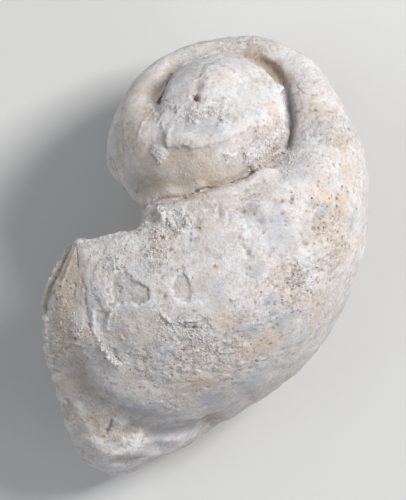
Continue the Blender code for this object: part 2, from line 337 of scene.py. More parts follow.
@dataclass(frozen=True)
class Sight:
    """The camera's sight of the stone. Lengths are in millimetres.

    Attributes:
        tip: Where the spire's tip is.
        eye: Where the camera is.
    """

    tip: tuple[float, float, float] = (-0.519, 31.98, 39.93)
    eye: tuple[float, float, float] = (-0.519, 1.38, 1239.93)

    def seen(self, points: np.ndarray) -> np.ndarray:
        """Where points show on the tip's level plane.

        Args:
            points: Places in metres, one row each.

        Returns:
            Millimetres to the right of and above the tip, one row each.
        """
        eye = np.array(self.eye)
        tip = np.array(self.tip)
        from_eye = points / MM - eye
        scale = (tip[2] - eye[2]) / from_eye[:, 2]
        return eye[:2] + from_eye[:, :2] * scale[:, None] - tip[:2]

    def cast(self, stone: BVHTree, x: float, y: float) -> tuple[Vector | None, Vector | None]:
        """Follows the line of sight through a place until it meets the stone.

        Args:
            stone: The stone to look at.
            x: Millimetres to the right of the tip.
            y: Millimetres above the tip.

        Returns:
            The point in metres and the surface's direction there, or None twice where it meets nothing.
        """
        eye = Vector(self.eye) * MM
        target = Vector((self.tip[0] + x, self.tip[1] + y, self.tip[2])) * MM
        return stone.ray_cast(eye, (target - eye).normalized())[:2]

    def on_stone(self, stone: BVHTree, places: list[Place] | tuple[Place, ...]) -> np.ndarray:
        """Where the lines of sight through places meet the stone.

        Args:
            stone: The stone to look at.
            places: Millimetres to the right of and above the tip.

        Returns:
            Points in metres, one row for each place that meets the stone.
        """
        hits = [self.cast(stone, x, y)[0] for x, y in places]
        return np.array([hit for hit in hits if hit is not None]).reshape(-1, 3)


SIGHT = Sight()


@dataclass(frozen=True)
class Edge:
    """A stretch of the photo's outline, and how the stone moves to meet it. Lengths are in millimetres.

    Attributes:
        stops: Places on the outline, and how far the stone moves there, to the right and upwards.
        reach: How far into the stone the move fades out.
    """

    stops: tuple[tuple[float, float, float, float], ...]
    reach: float

    def meet(self, points: np.ndarray, spots: np.ndarray) -> None:
        """Moves points to the outline.

        Args:
            points: Places in metres, one row each, which are changed.
            spots: Where they show, in millimetres.
        """
        stops = np.array(self.stops)
        near, where = distance_to_line(spots, stops[:, :2])
        share = eased(near / self.reach)
        points[:, :2] += read_off(where, stops[:, 2:]) * share[:, None] * MM


OUTLINE = (
    # the older turn's left side
    Edge(
        (
            (-15.6, 0.8, 0.0, 0.0), (-17.2, -2.4, 0.35, 0.0), (-18.4, -5.6, 0.2, 0.0), (-19.2, -8.8, -0.3, 0.0),
            (-19.4, -12.2, -0.4, 0.0), (-17.2, -16.8, -0.2, -0.15), (-14.6, -20.0, 0.0, 0.0),
        ),
        4.0,
    ),
    # the mouth's edge, from the notch down to the end piece and round it
    Edge(
        (
            (-12.2, -24.2, 0.1, -0.7), (-13.8, -26.0, 0.25, -0.6), (-15.8, -26.8, 0.0, 0.1),
            (-19.6, -27.6, 0.0, -0.05), (-22.4, -28.0, -0.1, 0.2), (-24.4, -28.4, -0.5, 0.75),
            (-27.6, -30.6, -0.45, 0.4),
            (-29.2, -33.0, -0.35, 0.2), (-30.6, -35.8, -0.65, 0.2), (-31.6, -38.8, -1.1, 0.2),
            (-32.0, -41.8, -1.15, 0.0), (-31.8, -45.0, 0.1, 0.0), (-32.0, -48.6, -1.0, 0.0),
            (-31.8, -52.2, -2.9, -0.2), (-30.4, -55.4, -2.1, -0.6), (-29.4, -59.2, -0.9, -0.2),
            (-28.2, -63.2, -0.5, -0.1), (-26.6, -67.4, -0.65, -0.2), (-24.6, -71.8, -0.95, -0.65),
            (-21.4, -74.4, -0.2, -0.5), (-17.4, -76.0, 0.0, -0.35), (-12.6, -74.2, -0.1, 0.2),
            (-8.2, -71.6, -0.3, 0.65), (-4.4, -70.4, 0.0, 0.0),
        ),
        7.0,
    ),
    # the lower edge
    Edge(
        (
            (-1.0, -68.4, 0.0, 0.0), (2.2, -66.0, -0.35, 0.6), (5.0, -64.6, -0.1, 0.2), (7.8, -63.0, -0.2, 0.4),
            (10.2, -61.2, -0.3, 0.5), (12.6, -59.8, -0.1, 0.15), (15.0, -58.2, 0.0, 0.0),
        ),
        5.0,
    ),
    # the top
    Edge(
        (
            (-10.8, 6.4, 0.0, 0.0), (-7.8, 8.2, -0.15, 0.25), (-4.6, 10.0, -0.1, 0.4), (-1.0, 11.0, 0.0, 0.0),
            (2.8, 11.6, 0.0, -0.15), (6.6, 12.0, 0.0, -0.15), (10.6, 12.2, 0.05, 0.4), (14.4, 11.4, 0.15, 0.55),
            (17.8, 9.6, 0.05, 0.15), (21.2, 7.8, 0.2, 0.35), (24.0, 4.8, 0.0, 0.0),
        ),
        4.0,
    ),
)

# The edge of the spire's worn top, from the slit over the top to the sandy crease
SPIRE_EDGE = (
    (-6.2, 4.8), (-3.6, 7.0), (-0.6, 8.0), (3.4, 8.4), (7.4, 8.0), (10.4, 6.8), (12.6, 5.4), (14.2, 3.4),
    (15.2, 1.4), (16.0, -0.8), (16.6, -3.2), (16.8, -6.0), (16.4, -9.4),
)

# The upper edge of the last turn, where it meets the older turn
SEAM = (
    (-12.0, -23.0), (-10.6, -21.6), (-7.6, -20.6), (-3.6, -20.4), (-1.6, -19.2), (0.0, -18.4), (4.4, -17.8),
    (6.4, -17.0), (8.4, -16.2), (9.8, -15.0), (11.8, -13.8), (13.6, -12.4),
)

# The foot of the slope between the last turn's back and the broken mouth end
VALLEY = ((-31.0, -55.0), (-25.0, -59.4), (-18.0, -63.4), (-10.0, -65.4), (-3.0, -65.0))

# The sheet of crust over the spire: its outline
SPIRE_CRUST = (
    (-7.6, -1.4), (-7.0, 1.4), (-6.0, 4.2), (-3.4, 6.8), (-0.6, 7.8), (3.4, 8.2), (7.4, 7.8), (10.4, 6.6),
    (12.6, 5.2), (14.2, 3.2), (15.2, 1.4), (16.0, -0.8), (16.6, -3.2), (16.6, -6.0), (15.0, -6.6), (12.0, -5.8),
    (9.4, -6.2), (7.4, -7.2), (4.4, -8.7), (2.4, -9.1), (0.4, -10.0), (-3.6, -10.3), (-6.2, -9.9), (-7.2, -9.2),
    (-7.6, -7.6), (-8.6, -4.6),
)

SHEETS = (
    Sheet(SPIRE_CRUST, 0.3),
    # the boss in the middle of the spire
    Sheet(
        ((0.6, 5.4), (2.4, 6.2), (5.0, 5.0), (7.0, 4.4), (6.6, 1.0), (4.6, -1.4), (1.8, -2.2), (0.2, -1.4),
         (0.0, 1.0)),
        0.3, 1.8, 0.8,
    ),
    # the drop-shaped hollow on the back
    Sheet(
        ((-3.9, -34.8), (-5.2, -36.0), (-6.1, -38.2), (-5.8, -40.0), (-4.3, -41.1), (-2.8, -41.1), (-2.2, -39.2),
         (-2.7, -36.9)),
        -0.38, 0.4, 0.35,
    ),
    # pockets in the crust beside the mouth
    Sheet(
        ((-18.7, -36.0), (-16.3, -33.9), (-15.0, -34.7), (-14.2, -36.3), (-11.3, -38.7), (-10.6, -40.0),
         (-12.8, -41.9), (-14.4, -41.1), (-17.1, -41.4), (-18.4, -42.4), (-18.3, -38.6)),
        -0.3, 0.45, 0.9,
    ),
    Sheet(
        ((-21.6, -43.0), (-18.8, -42.8), (-19.4, -44.4), (-19.6, -46.2), (-20.6, -46.9), (-21.4, -45.2)),
        -0.26, 0.35, 0.5,
    ),
    Sheet(((-18.2, -50.4), (-17.2, -50.2), (-17.0, -52.6), (-18.0, -53.0)), -0.15, 0.6, 0.5),
    # the lobe of crust beside them
    Sheet(
        ((-21.4, -34.0), (-19.4, -33.4), (-18.6, -36.4), (-18.6, -39.6), (-19.5, -42.0), (-20.8, -41.2),
         (-21.6, -38.0)),
        0.24, 0.6, 1.0,
    ),
    # flakes of crust on the older turn
    Sheet(((-9.8, -9.6), (-7.6, -9.7), (-7.2, -12.0), (-8.0, -13.4), (-9.4, -13.0), (-10.0, -11.0)), 0.3, 0.9, 1.2),
    Sheet(((4.3, -11.2), (6.9, -10.9), (6.7, -13.0), (4.6, -12.9)), 0.2, 0.9, 1.2),
    Sheet(((8.0, -10.8), (12.2, -10.4), (12.8, -12.8), (10.2, -14.4), (8.2, -12.8)), 0.35, 0.9, 1.3),
)

# Broad ridges and valleys
BROAD = (
    # the spire
    Track(((-4.6, -2.6), (-6.2, -5.6), (-7.0, -8.6)), 0.8, 0.24, crumbly=0.8),
    Track(((-10.4, -1.6), (-9.0, -4.4), (-8.0, -6.8)), 0.8, 0.2, crumbly=0.8),
    Track(((-9.8, -2.6), (-12.2, -5.6), (-13.0, -8.4)), 0.6, 0.18, crumbly=0.5),
    Track(((-5.0, -4.6), (-1.6, -5.2), (2.0, -6.4)), 2.8, -0.25),
    Track(((-7.8, -1.6), (-4.0, -2.2), (-1.6, -3.2), (1.4, -1.8), (3.8, -3.2), (3.4, -6.0)), 1.2, 0.22, crumbly=0.9),
    Track(((-0.8, 2.0), (-1.4, 0.2)), 1.4, -0.35, ragged=0.4),
    Track(((0.6, 4.6), (-0.4, 3.4), (-1.6, 3.0)), 0.6, 0.15, crumbly=0.6),
    Track(((2.0, 5.6), (5.0, 4.6)), 1.6, 0.3),
    Track(((-4.2, -9.6), (-1.2, -9.2), (1.4, -9.4)), 0.8, 0.24, crumbly=0.9),
    # the wall round the spire's right side, and the floor of the channel beside it
    Track(
        ((11.6, 7.3), (13.6, 5.9), (15.3, 3.9), (16.4, 1.6), (17.1, -1.4), (17.6, -4.6), (17.4, -8.0), (17.0, -10.4)),
        1.7, -1.2, Way.UP, 0.4,
    ),
    Track(((17.2, -2.4), (17.6, -4.8), (17.4, -8.0)), 1.8, -0.7, Way.UP, 0.3),
    # the corner of the older turn
    Track(((-18.4, -13.0),), 1.7, 0.7),
    # the older turn beside the seam
    Track(((-12.2, -21.2), (-10.2, -20.2), (-7.2, -19.6), (-3.4, -19.4), (-0.8, -18.2)), 3.0, 1.1, Way.UP, 0.1),
    # the mouth's broken rim
    Track(((-26.6, -29.6), (-28.8, -33.8), (-31.0, -38.4), (-32.0, -43.0)), 1.5, -0.8, ragged=0.4),
    Track(((-25.0, -29.4), (-26.6, -33.4), (-28.2, -37.4), (-30.6, -41.0)), 0.7, 0.25),
    Track(((-24.2, -46.0), (-26.6, -49.6)), 2.0, 0.3),
    # the double rim of crust below the pockets
    Track(((-22.0, -43.0), (-21.8, -46.4), (-20.8, -49.0)), 0.5, 0.2, crumbly=0.8),
    Track(((-20.3, -50.0), (-18.7, -52.2), (-17.2, -53.8)), 1.1, 0.32, crumbly=0.8),
    Track(((-18.3, -42.6), (-18.8, -44.4), (-19.2, -46.6)), 0.4, 0.2, crumbly=0.7),
    Track(((-17.4, -53.6), (-15.0, -53.3)), 0.6, 0.2, crumbly=0.7),
    Track(((-18.0, -50.6), (-17.2, -53.0)), 0.7, -0.22),
    # the mouth end
    Track(((-22.6, -69.6), (-18.4, -71.8), (-13.6, -70.6)), 5.0, 1.2, Way.UP, 0.15),
    Track(((-20.4, -73.2), (-16.4, -74.2), (-12.4, -72.6)), 3.0, 1.0, Way.UP, 0.2),
    Track(((-17.4, -65.0), (-14.6, -66.4), (-12.6, -67.6)), 2.0, 0.3, ragged=0.3),
    Track(((-25.0, -62.0), (-22.6, -66.4)), 2.0, 0.3, ragged=0.3),
    Track(((-14.6, -66.4), (-10.6, -67.2), (-6.6, -67.2), (-3.0, -66.2)), 3.4, -1.5, Way.UP, 0.1),
    Track(((-8.8, -61.0), (-6.8, -61.8), (-5.0, -62.6)), 1.5, 0.14, crumbly=0.6),
    # the back
    Track(((7.2, -22.4), (9.4, -23.2), (11.2, -24.8)), 2.2, -0.4),
    Track(((9.4, -25.3), (8.1, -26.0)), 0.6, 0.25),
    Track(((4.6, -23.2), (4.4, -25.4)), 0.6, 0.25, crumbly=0.6),
    Track(((3.2, -21.6), (3.4, -24.0)), 1.0, -0.2),
    Track(((7.4, -28.0), (8.4, -30.0), (9.8, -32.2)), 0.6, -0.2),
    Track(((-8.2, -43.2), (-6.8, -44.8), (-4.6, -44.8), (-0.8, -44.6)), 0.8, 0.3, crumbly=0.9),
    Track(((-7.2, -45.6), (-4.0, -46.0), (-1.0, -46.4)), 1.0, -0.16, crumbly=0.5),
    Track(((-13.0, -24.6), (-14.8, -26.4), (-17.6, -27.4), (-21.2, -28.4), (-26.0, -29.2)), 1.3, 0.25, crumbly=0.6),
    Track(((-10.8, -21.8), (-9.0, -21.4), (-6.0, -21.3), (-3.2, -21.0)), 0.9, 0.2, crumbly=0.8),
    Track(((-8.6, -21.8), (-7.4, -24.4), (-4.6, -26.8)), 1.3, 0.55, crumbly=0.9),
    Track(((-4.4, -22.6), (-3.2, -25.4)), 1.0, 0.45, crumbly=0.9),
    Track(((-10.8, -24.0), (-12.4, -27.2)), 1.1, 0.45, crumbly=0.9),
)

# Sharp cracks and grooves
FINE = (
    Track(SEAM[3:], 0.3, -0.4, Way.UP, 0.6),
    Track(((-12.2, -22.6), (-10.4, -21.2), (-7.5, -20.2), (-3.6, -20.1)), 0.4, -0.45, Way.UP, 0.6),
    Track(((9.4, -15.4), (11.8, -13.9), (14.0, -12.3), (16.0, -11.2)), 0.6, -0.7, Way.UP, 0.6),
    Track(((-6.4, 4.6), (-7.3, 2.4), (-8.2, 0.2)), 0.5, -1.0, Way.UP, 0.4),
    Track(((-8.4, -0.2), (-8.8, -0.9)), 0.8, -1.6, Way.UP, 0.5),
    Track(((-1.7, -0.1), (-1.3, -0.4)), 0.85, -1.5, Way.UP, 0.4),
    Track(
        ((-24.3, -36.6), (-23.6, -38.6), (-23.6, -40.6), (-23.2, -42.6), (-23.0, -44.6), (-22.6, -46.6)),
        0.22, -0.34, ragged=1.2,
    ),
    Track(((-25.9, -36.6), (-25.6, -38.0), (-25.9, -39.6)), 0.3, -0.25),
    Track(((-27.2, -31.6), (-28.6, -34.6)), 0.3, -0.3),
    Track(((-25.4, -29.4), (-25.0, -34.0)), 0.3, -0.3, ragged=0.6),
    Track(((-18.4, -64.8), (-18.7, -66.0), (-19.3, -67.2)), 0.5, -0.4, ragged=1.1),
    Track(((18.6, 2.0), (20.6, 0.6), (22.4, 0.4)), 0.3, -0.2, ragged=0.5),
)


@dataclass(frozen=True)
class Pit:
    """A small round hole, lined with dirt.

    Attributes:
        place: Its middle.
        radius: Its radius in millimetres.
    """

    place: Place
    radius: float


# How large a pit is, against the dark spot that the photo shows there
PIT_SHARE = 0.75

# The third number is the radius of the dark spot in millimetres
PITS = tuple(
    Pit((x, y), PIT_SHARE * radius)
    for x, y, radius in (
        # the spire
        (-1.4, -0.2, 1.15), (1.2, -7.6, 0.5), (14.7, -5.3, 0.6), (-2.2, 4.2, 0.4), (0.8, 3.8, 0.4),
        (-8.6, -0.9, 0.9), (-11.6, -2.2, 0.4),
        # below the seam
        (6.7, -22.4, 0.55), (8.2, -22.9, 0.4), (10.1, -23.4, 0.4), (11.2, -19.5, 0.4), (11.7, -20.0, 0.3),
        (12.6, -20.6, 0.3), (14.2, -20.4, 0.3), (14.7, -20.6, 0.25), (15.9, -20.9, 0.35), (17.8, -20.3, 0.45),
        (18.9, -20.3, 0.35), (17.8, -21.3, 0.3), (15.8, -23.3, 0.45), (16.6, -24.1, 0.3), (16.6, -24.8, 0.3),
        (16.4, -25.6, 0.3), (17.3, -27.1, 0.3), (19.6, -27.5, 0.35),
        # the tan side
        (20.7, -22.8, 0.3), (21.4, -22.9, 0.3), (23.0, -17.8, 0.4), (23.1, -16.8, 0.3), (23.4, -18.4, 0.25),
        (23.9, -18.8, 0.3), (23.6, -19.4, 0.25), (25.3, -20.3, 0.35), (26.7, -20.3, 0.45), (27.2, -19.6, 0.3),
        (28.3, -21.3, 0.35), (27.3, -22.8, 0.35), (24.0, -23.9, 0.45), (23.4, -24.3, 0.35), (27.1, -24.5, 0.4),
        (22.0, -26.3, 0.6), (23.2, -26.4, 0.35), (26.9, -27.1, 0.4), (24.1, -26.8, 0.3), (22.9, -27.6, 0.3),
        (27.9, -28.3, 0.6), (29.0, -26.7, 0.3), (24.9, -28.8, 0.4), (20.8, -29.5, 0.45), (29.3, -29.9, 0.35),
        (28.5, -30.4, 0.3), (26.7, -31.6, 0.3), (24.7, -31.6, 0.3), (23.1, -32.6, 0.3), (25.4, -33.9, 0.3),
        (22.7, -36.6, 0.35),
        # the dense cluster
        (15.6, -31.9, 0.35), (17.0, -32.6, 0.35), (17.9, -34.4, 0.4), (19.2, -34.8, 0.5), (18.4, -33.9, 0.35),
        (19.7, -35.9, 0.35), (20.2, -36.3, 0.35), (17.9, -37.3, 0.55), (19.1, -37.8, 0.35), (16.1, -38.3, 0.4),
        (16.2, -39.1, 0.35), (15.9, -40.1, 0.4), (17.7, -38.6, 0.3), (17.6, -39.9, 0.35), (18.1, -41.1, 0.3),
        (20.3, -40.9, 0.45), (21.0, -40.1, 0.35), (21.7, -40.2, 0.3), (22.1, -40.9, 0.4), (23.1, -41.3, 0.45),
        (23.0, -39.9, 0.3), (14.7, -36.4, 0.3), (14.2, -35.6, 0.3), (12.9, -37.9, 0.3), (13.0, -41.2, 0.3),
        # the back
        (0.6, -30.3, 0.4), (2.3, -33.9, 0.55), (-1.1, -26.3, 0.5), (-8.2, -28.0, 0.7), (-6.6, -30.6, 0.45),
        (-5.6, -31.2, 0.4), (-4.0, -34.0, 0.35), (-2.8, -24.2, 0.3), (-2.6, -28.6, 0.4), (-2.2, -36.2, 0.3),
        (-7.8, -40.0, 0.6), (-8.6, -38.8, 0.35), (-11.0, -38.6, 0.35), (-10.8, -40.0, 0.35),
        (7.2, -28.0, 0.35),
        # the lower back
        (10.4, -41.1, 0.5), (10.1, -43.9, 0.4), (10.9, -44.6, 0.3), (14.8, -45.6, 0.4), (17.9, -46.5, 0.5),
        (19.6, -47.2, 0.35), (23.3, -45.4, 0.45), (11.6, -48.8, 0.4), (13.4, -49.4, 0.5), (10.6, -52.8, 0.4),
        (14.7, -53.1, 0.4), (17.7, -49.8, 0.4), (18.1, -51.3, 0.35), (7.0, -46.9, 0.3), (4.1, -53.2, 0.35),
        (-25.6, -48.4, 0.5), (-12.1, -50.6, 0.4), (-3.9, -50.7, 0.5), (-2.0, -46.3, 0.8), (-19.3, -59.0, 0.3),
        (-23.0, -56.2, 0.3), (-6.3, -55.6, 0.3),
        # the upper right
        (23.9, 0.6, 0.3), (22.4, -2.6, 0.5), (21.7, -1.6, 0.3), (23.8, -5.0, 0.3), (25.6, -6.1, 0.4),
        (26.8, -4.9, 0.3), (29.2, -6.4, 0.3), (27.2, -2.6, 0.3), (25.4, -8.6, 0.35), (26.8, -9.4, 0.3),
        (30.9, -12.2, 0.3), (27.4, -13.6, 0.3), (25.2, -16.2, 0.4), (25.2, -17.1, 0.35),
        # the end piece
        (-12.1, -68.8, 0.4), (-20.0, -68.0, 0.5), (-13.6, -67.2, 0.4),
    )
)

# The places of the round stains, each with its radius in millimetres and its strength
PATCHES = tuple(
    Patch(stain, (x, y), radius, strength)
    for stain, spots in (
        (Stain.ROUGH, (
            (-13.0, 7.0, 5.0, 0.35), (0.0, 11.0, 4.6, 0.6), (9.0, 10.6, 6.0, 0.9), (-1.6, -2.6, 4.0, 0.9),
            (3.6, -3.6, 3.4, 0.8), (15.4, 5.4, 3.0, 0.45), (20.0, 4.6, 4.6, 0.5), (25.6, -6.0, 7.4, 0.9),
            (-19.0, -13.0, 3.0, 0.7), (-15.6, -7.0, 6.4, 0.4), (0.0, -13.6, 6.0, 0.25),
            (12.0, -9.0, 4.6, 1.0), (14.4, -12.4, 2.6, 1.0), (14.6, -9.6, 3.0, 1.0),
            (22.0, -14.0, 7.0, 0.35), (29.6, -16.0, 4.6, 0.4), (-22.0, -28.6, 3.0, 0.45),
            (-17.0, -27.8, 3.0, 0.5), (-14.0, -27.0, 4.0, 0.6), (-8.6, -28.6, 5.0, 0.8),
            (-5.2, -25.8, 3.8, 1.0), (0.0, -22.4, 3.6, 0.5), (9.0, -18.6, 3.6, 0.4),
            (25.6, -24.0, 6.4, 0.8), (-29.6, -38.0, 3.6, 0.8), (-27.4, -40.0, 6.0, 0.4),
            (-18.4, -33.6, 3.6, 0.8), (-10.6, -32.0, 4.4, 0.7), (18.6, -36.4, 5.6, 1.0),
            (26.4, -31.0, 6.0, 0.7), (-31.6, -46.0, 3.6, 0.9), (-30.8, -53.0, 3.4, 0.8),
            (-29.0, -48.0, 5.0, 0.8), (-25.4, -48.0, 5.0, 0.8), (-17.0, -46.0, 5.0, 0.5),
            (-5.0, -53.0, 9.0, 0.75), (-2.2, -46.2, 2.6, 0.9), (4.0, -52.0, 8.0, 0.7),
            (10.0, -44.0, 8.0, 0.25), (-27.6, -63.0, 4.0, 0.7), (-6.4, -60.6, 3.6, 0.55),
            (-24.0, -71.6, 4.0, 0.7), (-17.0, -69.0, 7.0, 0.3),
        )),
        (Stain.PORES, (
            (26.0, -6.0, 7.0, 0.35), (25.4, -24.0, 7.4, 0.9), (-27.4, -40.0, 6.0, 0.7),
            (19.0, -37.0, 6.0, 1.0), (-27.0, -49.0, 6.0, 1.0), (-4.0, -52.0, 9.0, 0.5),
            (12.0, -48.0, 8.0, 0.6),
        )),
        (Stain.BLUE, (
            (-1.0, -32.0, 5.0, 0.25),
            (-4.4, 5.2, 3.8, 0.5), (8.4, -1.0, 6.4, 0.2), (22.6, -5.6, 2.6, 0.5), (-4.0, -6.4, 3.0, 0.4),
            (1.6, -6.4, 3.0, 0.4), (19.4, -14.0, 4.6, 0.3), (24.0, -8.0, 3.4, 0.4), (9.8, -23.4, 2.4, 0.8),
            (13.8, -25.6, 4.2, 0.9), (16.0, -29.0, 3.6, 0.6), (21.4, -26.0, 3.4, 0.5),
            (24.0, -22.6, 2.0, 0.7), (30.2, -24.4, 2.0, 0.6), (2.8, -39.8, 2.2, 1.0),
            (10.6, -35.0, 2.4, 0.6), (13.8, -40.8, 1.7, 0.9), (-9.2, -49.2, 1.0, 0.8),
            (9.4, -46.6, 1.8, 0.8), (16.0, -45.0, 3.0, 0.8), (17.0, -48.6, 2.0, 0.6),
            # from (-12.0, -64.0) on, these blue-grey patches in the valley and on the lower flank are partly painted
            # shade where the stone faces away from the light
            (20.0, -48.2, 2.0, 0.6), (-12.0, -64.0, 5.0, 0.7), (1.4, -60.8, 3.0, 0.9),
            (5.6, -61.6, 2.4, 0.8), (9.6, -57.0, 4.0, 0.7), (-8.6, -66.6, 3.4, 0.6),
            (-8.0, -66.4, 4.0, 0.8), (-3.0, -66.0, 4.0, 0.7),
        )),
        (Stain.TAN, (
            (-11.8, -3.0, 1.6, 0.35), (3.6, 5.2, 2.6, 0.2), (13.6, 6.0, 2.6, 0.25), (14.4, -3.2, 2.4, 0.6),
            (23.0, -3.0, 3.0, 0.5), (-15.0, -8.0, 6.4, 0.35), (8.4, -7.8, 3.0, 0.4), (12.0, -6.6, 3.0, 0.4),
            (24.0, -17.6, 3.4, 0.6), (27.6, -9.6, 3.4, 0.6), (29.4, -15.4, 3.0, 0.5),
            (-9.0, -29.0, 4.0, 0.3), (1.6, -26.8, 2.6, 0.4), (22.8, -26.4, 2.4, 0.9),
            (24.4, -20.6, 2.6, 0.8), (25.4, -25.0, 7.0, 0.4), (27.4, -21.6, 3.6, 0.75),
            (16.2, -39.4, 2.0, 0.5), (17.2, -37.2, 4.4, 0.35), (27.6, -30.4, 3.2, 0.6),
            (-26.6, -48.6, 5.0, 0.45), (-21.4, -48.0, 4.0, 0.2), (-13.0, -47.0, 6.0, 0.35),
            (5.0, -45.0, 3.4, 0.4), (8.4, -51.0, 3.6, 0.5), (13.0, -49.4, 4.0, 0.8),
            (22.6, -44.6, 2.6, 0.5), (-21.6, -64.8, 3.0, 0.4), (1.0, -57.0, 3.6, 0.6),
            (15.6, -56.4, 2.6, 0.6), (-16.6, -67.0, 2.0, 0.4),
        )),
        (Stain.BROWN, (
            (10.4, 7.0, 2.6, 0.6), (-14.6, -5.0, 7.0, 0.4), (-14.6, 4.0, 6.0, 0.5), (-13.0, 2.4, 5.0, 0.7),
            (-9.0, 1.2, 1.8, 0.9), (-1.4, 0.6, 1.3, 0.9), (-0.8, 2.0, 1.2, 0.6), (-0.4, 2.0, 1.3, 0.7),
            (14.0, 5.6, 2.4, 1.0), (14.7, -4.6, 1.0, 0.5), (-16.6, -9.6, 6.4, 0.25), (-14.4, -17.4, 3.8, 0.45),
            (-11.0, -11.2, 4.4, 0.5), (-4.0, -14.6, 9.0, 0.85), (-10.0, -18.0, 5.6, 0.9),
            (-28.6, -41.0, 5.0, 0.8), (-26.4, -34.6, 4.6, 0.7), (-4.2, -38.0, 1.8, 0.4),
            (-24.0, -57.0, 5.0, 0.35),
        )),
        (Stain.PALE, (
            (8.0, 11.4, 3.6, 0.5), (-1.6, -2.6, 4.4, 0.8), (4.0, -3.6, 3.8, 0.6), (7.0, 4.0, 2.4, 0.8),
            (8.6, -1.6, 5.6, 0.7), (20.0, 5.6, 3.6, 0.5), (24.4, -0.8, 2.0, 0.9), (25.4, -3.4, 3.4, 0.6),
            (-10.4, -6.4, 2.8, 0.55), (-8.4, -11.4, 1.6, 0.9), (0.0, -9.2, 1.4, 0.9), (5.6, -12.0, 1.6, 0.8),
            (10.2, -12.4, 2.6, 0.8),
            (13.0, -8.4, 3.6, 0.7), (17.6, -13.6, 3.0, 0.8), (20.4, -17.0, 3.6, 0.6),
            (21.4, -7.4, 4.0, 0.8), (-12.0, -28.0, 4.0, 0.8), (-10.6, -22.6, 2.4, 1.0),
            (-5.6, -24.6, 5.4, 1.0), (4.6, -24.0, 1.2, 1.0), (9.2, -25.4, 1.2, 0.9),
            (30.2, -18.4, 2.4, 0.8), (-17.6, -31.6, 4.0, 0.4), (-17.4, -34.0, 2.4, 0.8),
            (0.6, -37.0, 6.0, 0.3), (9.0, -39.6, 4.6, 0.5), (22.0, -32.6, 4.0, 0.6),
            (29.6, -34.0, 4.6, 0.6), (-25.6, -47.6, 4.0, 0.8), (-8.4, -61.4, 2.2, 0.4),
            # these three are pale crust and also painted light on the mouth end's lower rim, which faces away from
            # the lamps
            (-17.4, -74.4, 3.4, 0.8), (-15.6, -74.4, 3.0, 1.0), (-15.0, -72.6, 4.6, 0.35),
            (-9.4, -70.4, 2.6, 0.6), (-4.0, -68.0, 2.6, 0.6),
        )),
        (Stain.DIRT_AND_SHADE, (
            # painted shade on the shadowed wall of the channel at the top right
            (14.6, 5.0, 2.8, 0.35),
        )),
    )
    for x, y, radius, strength in spots
)

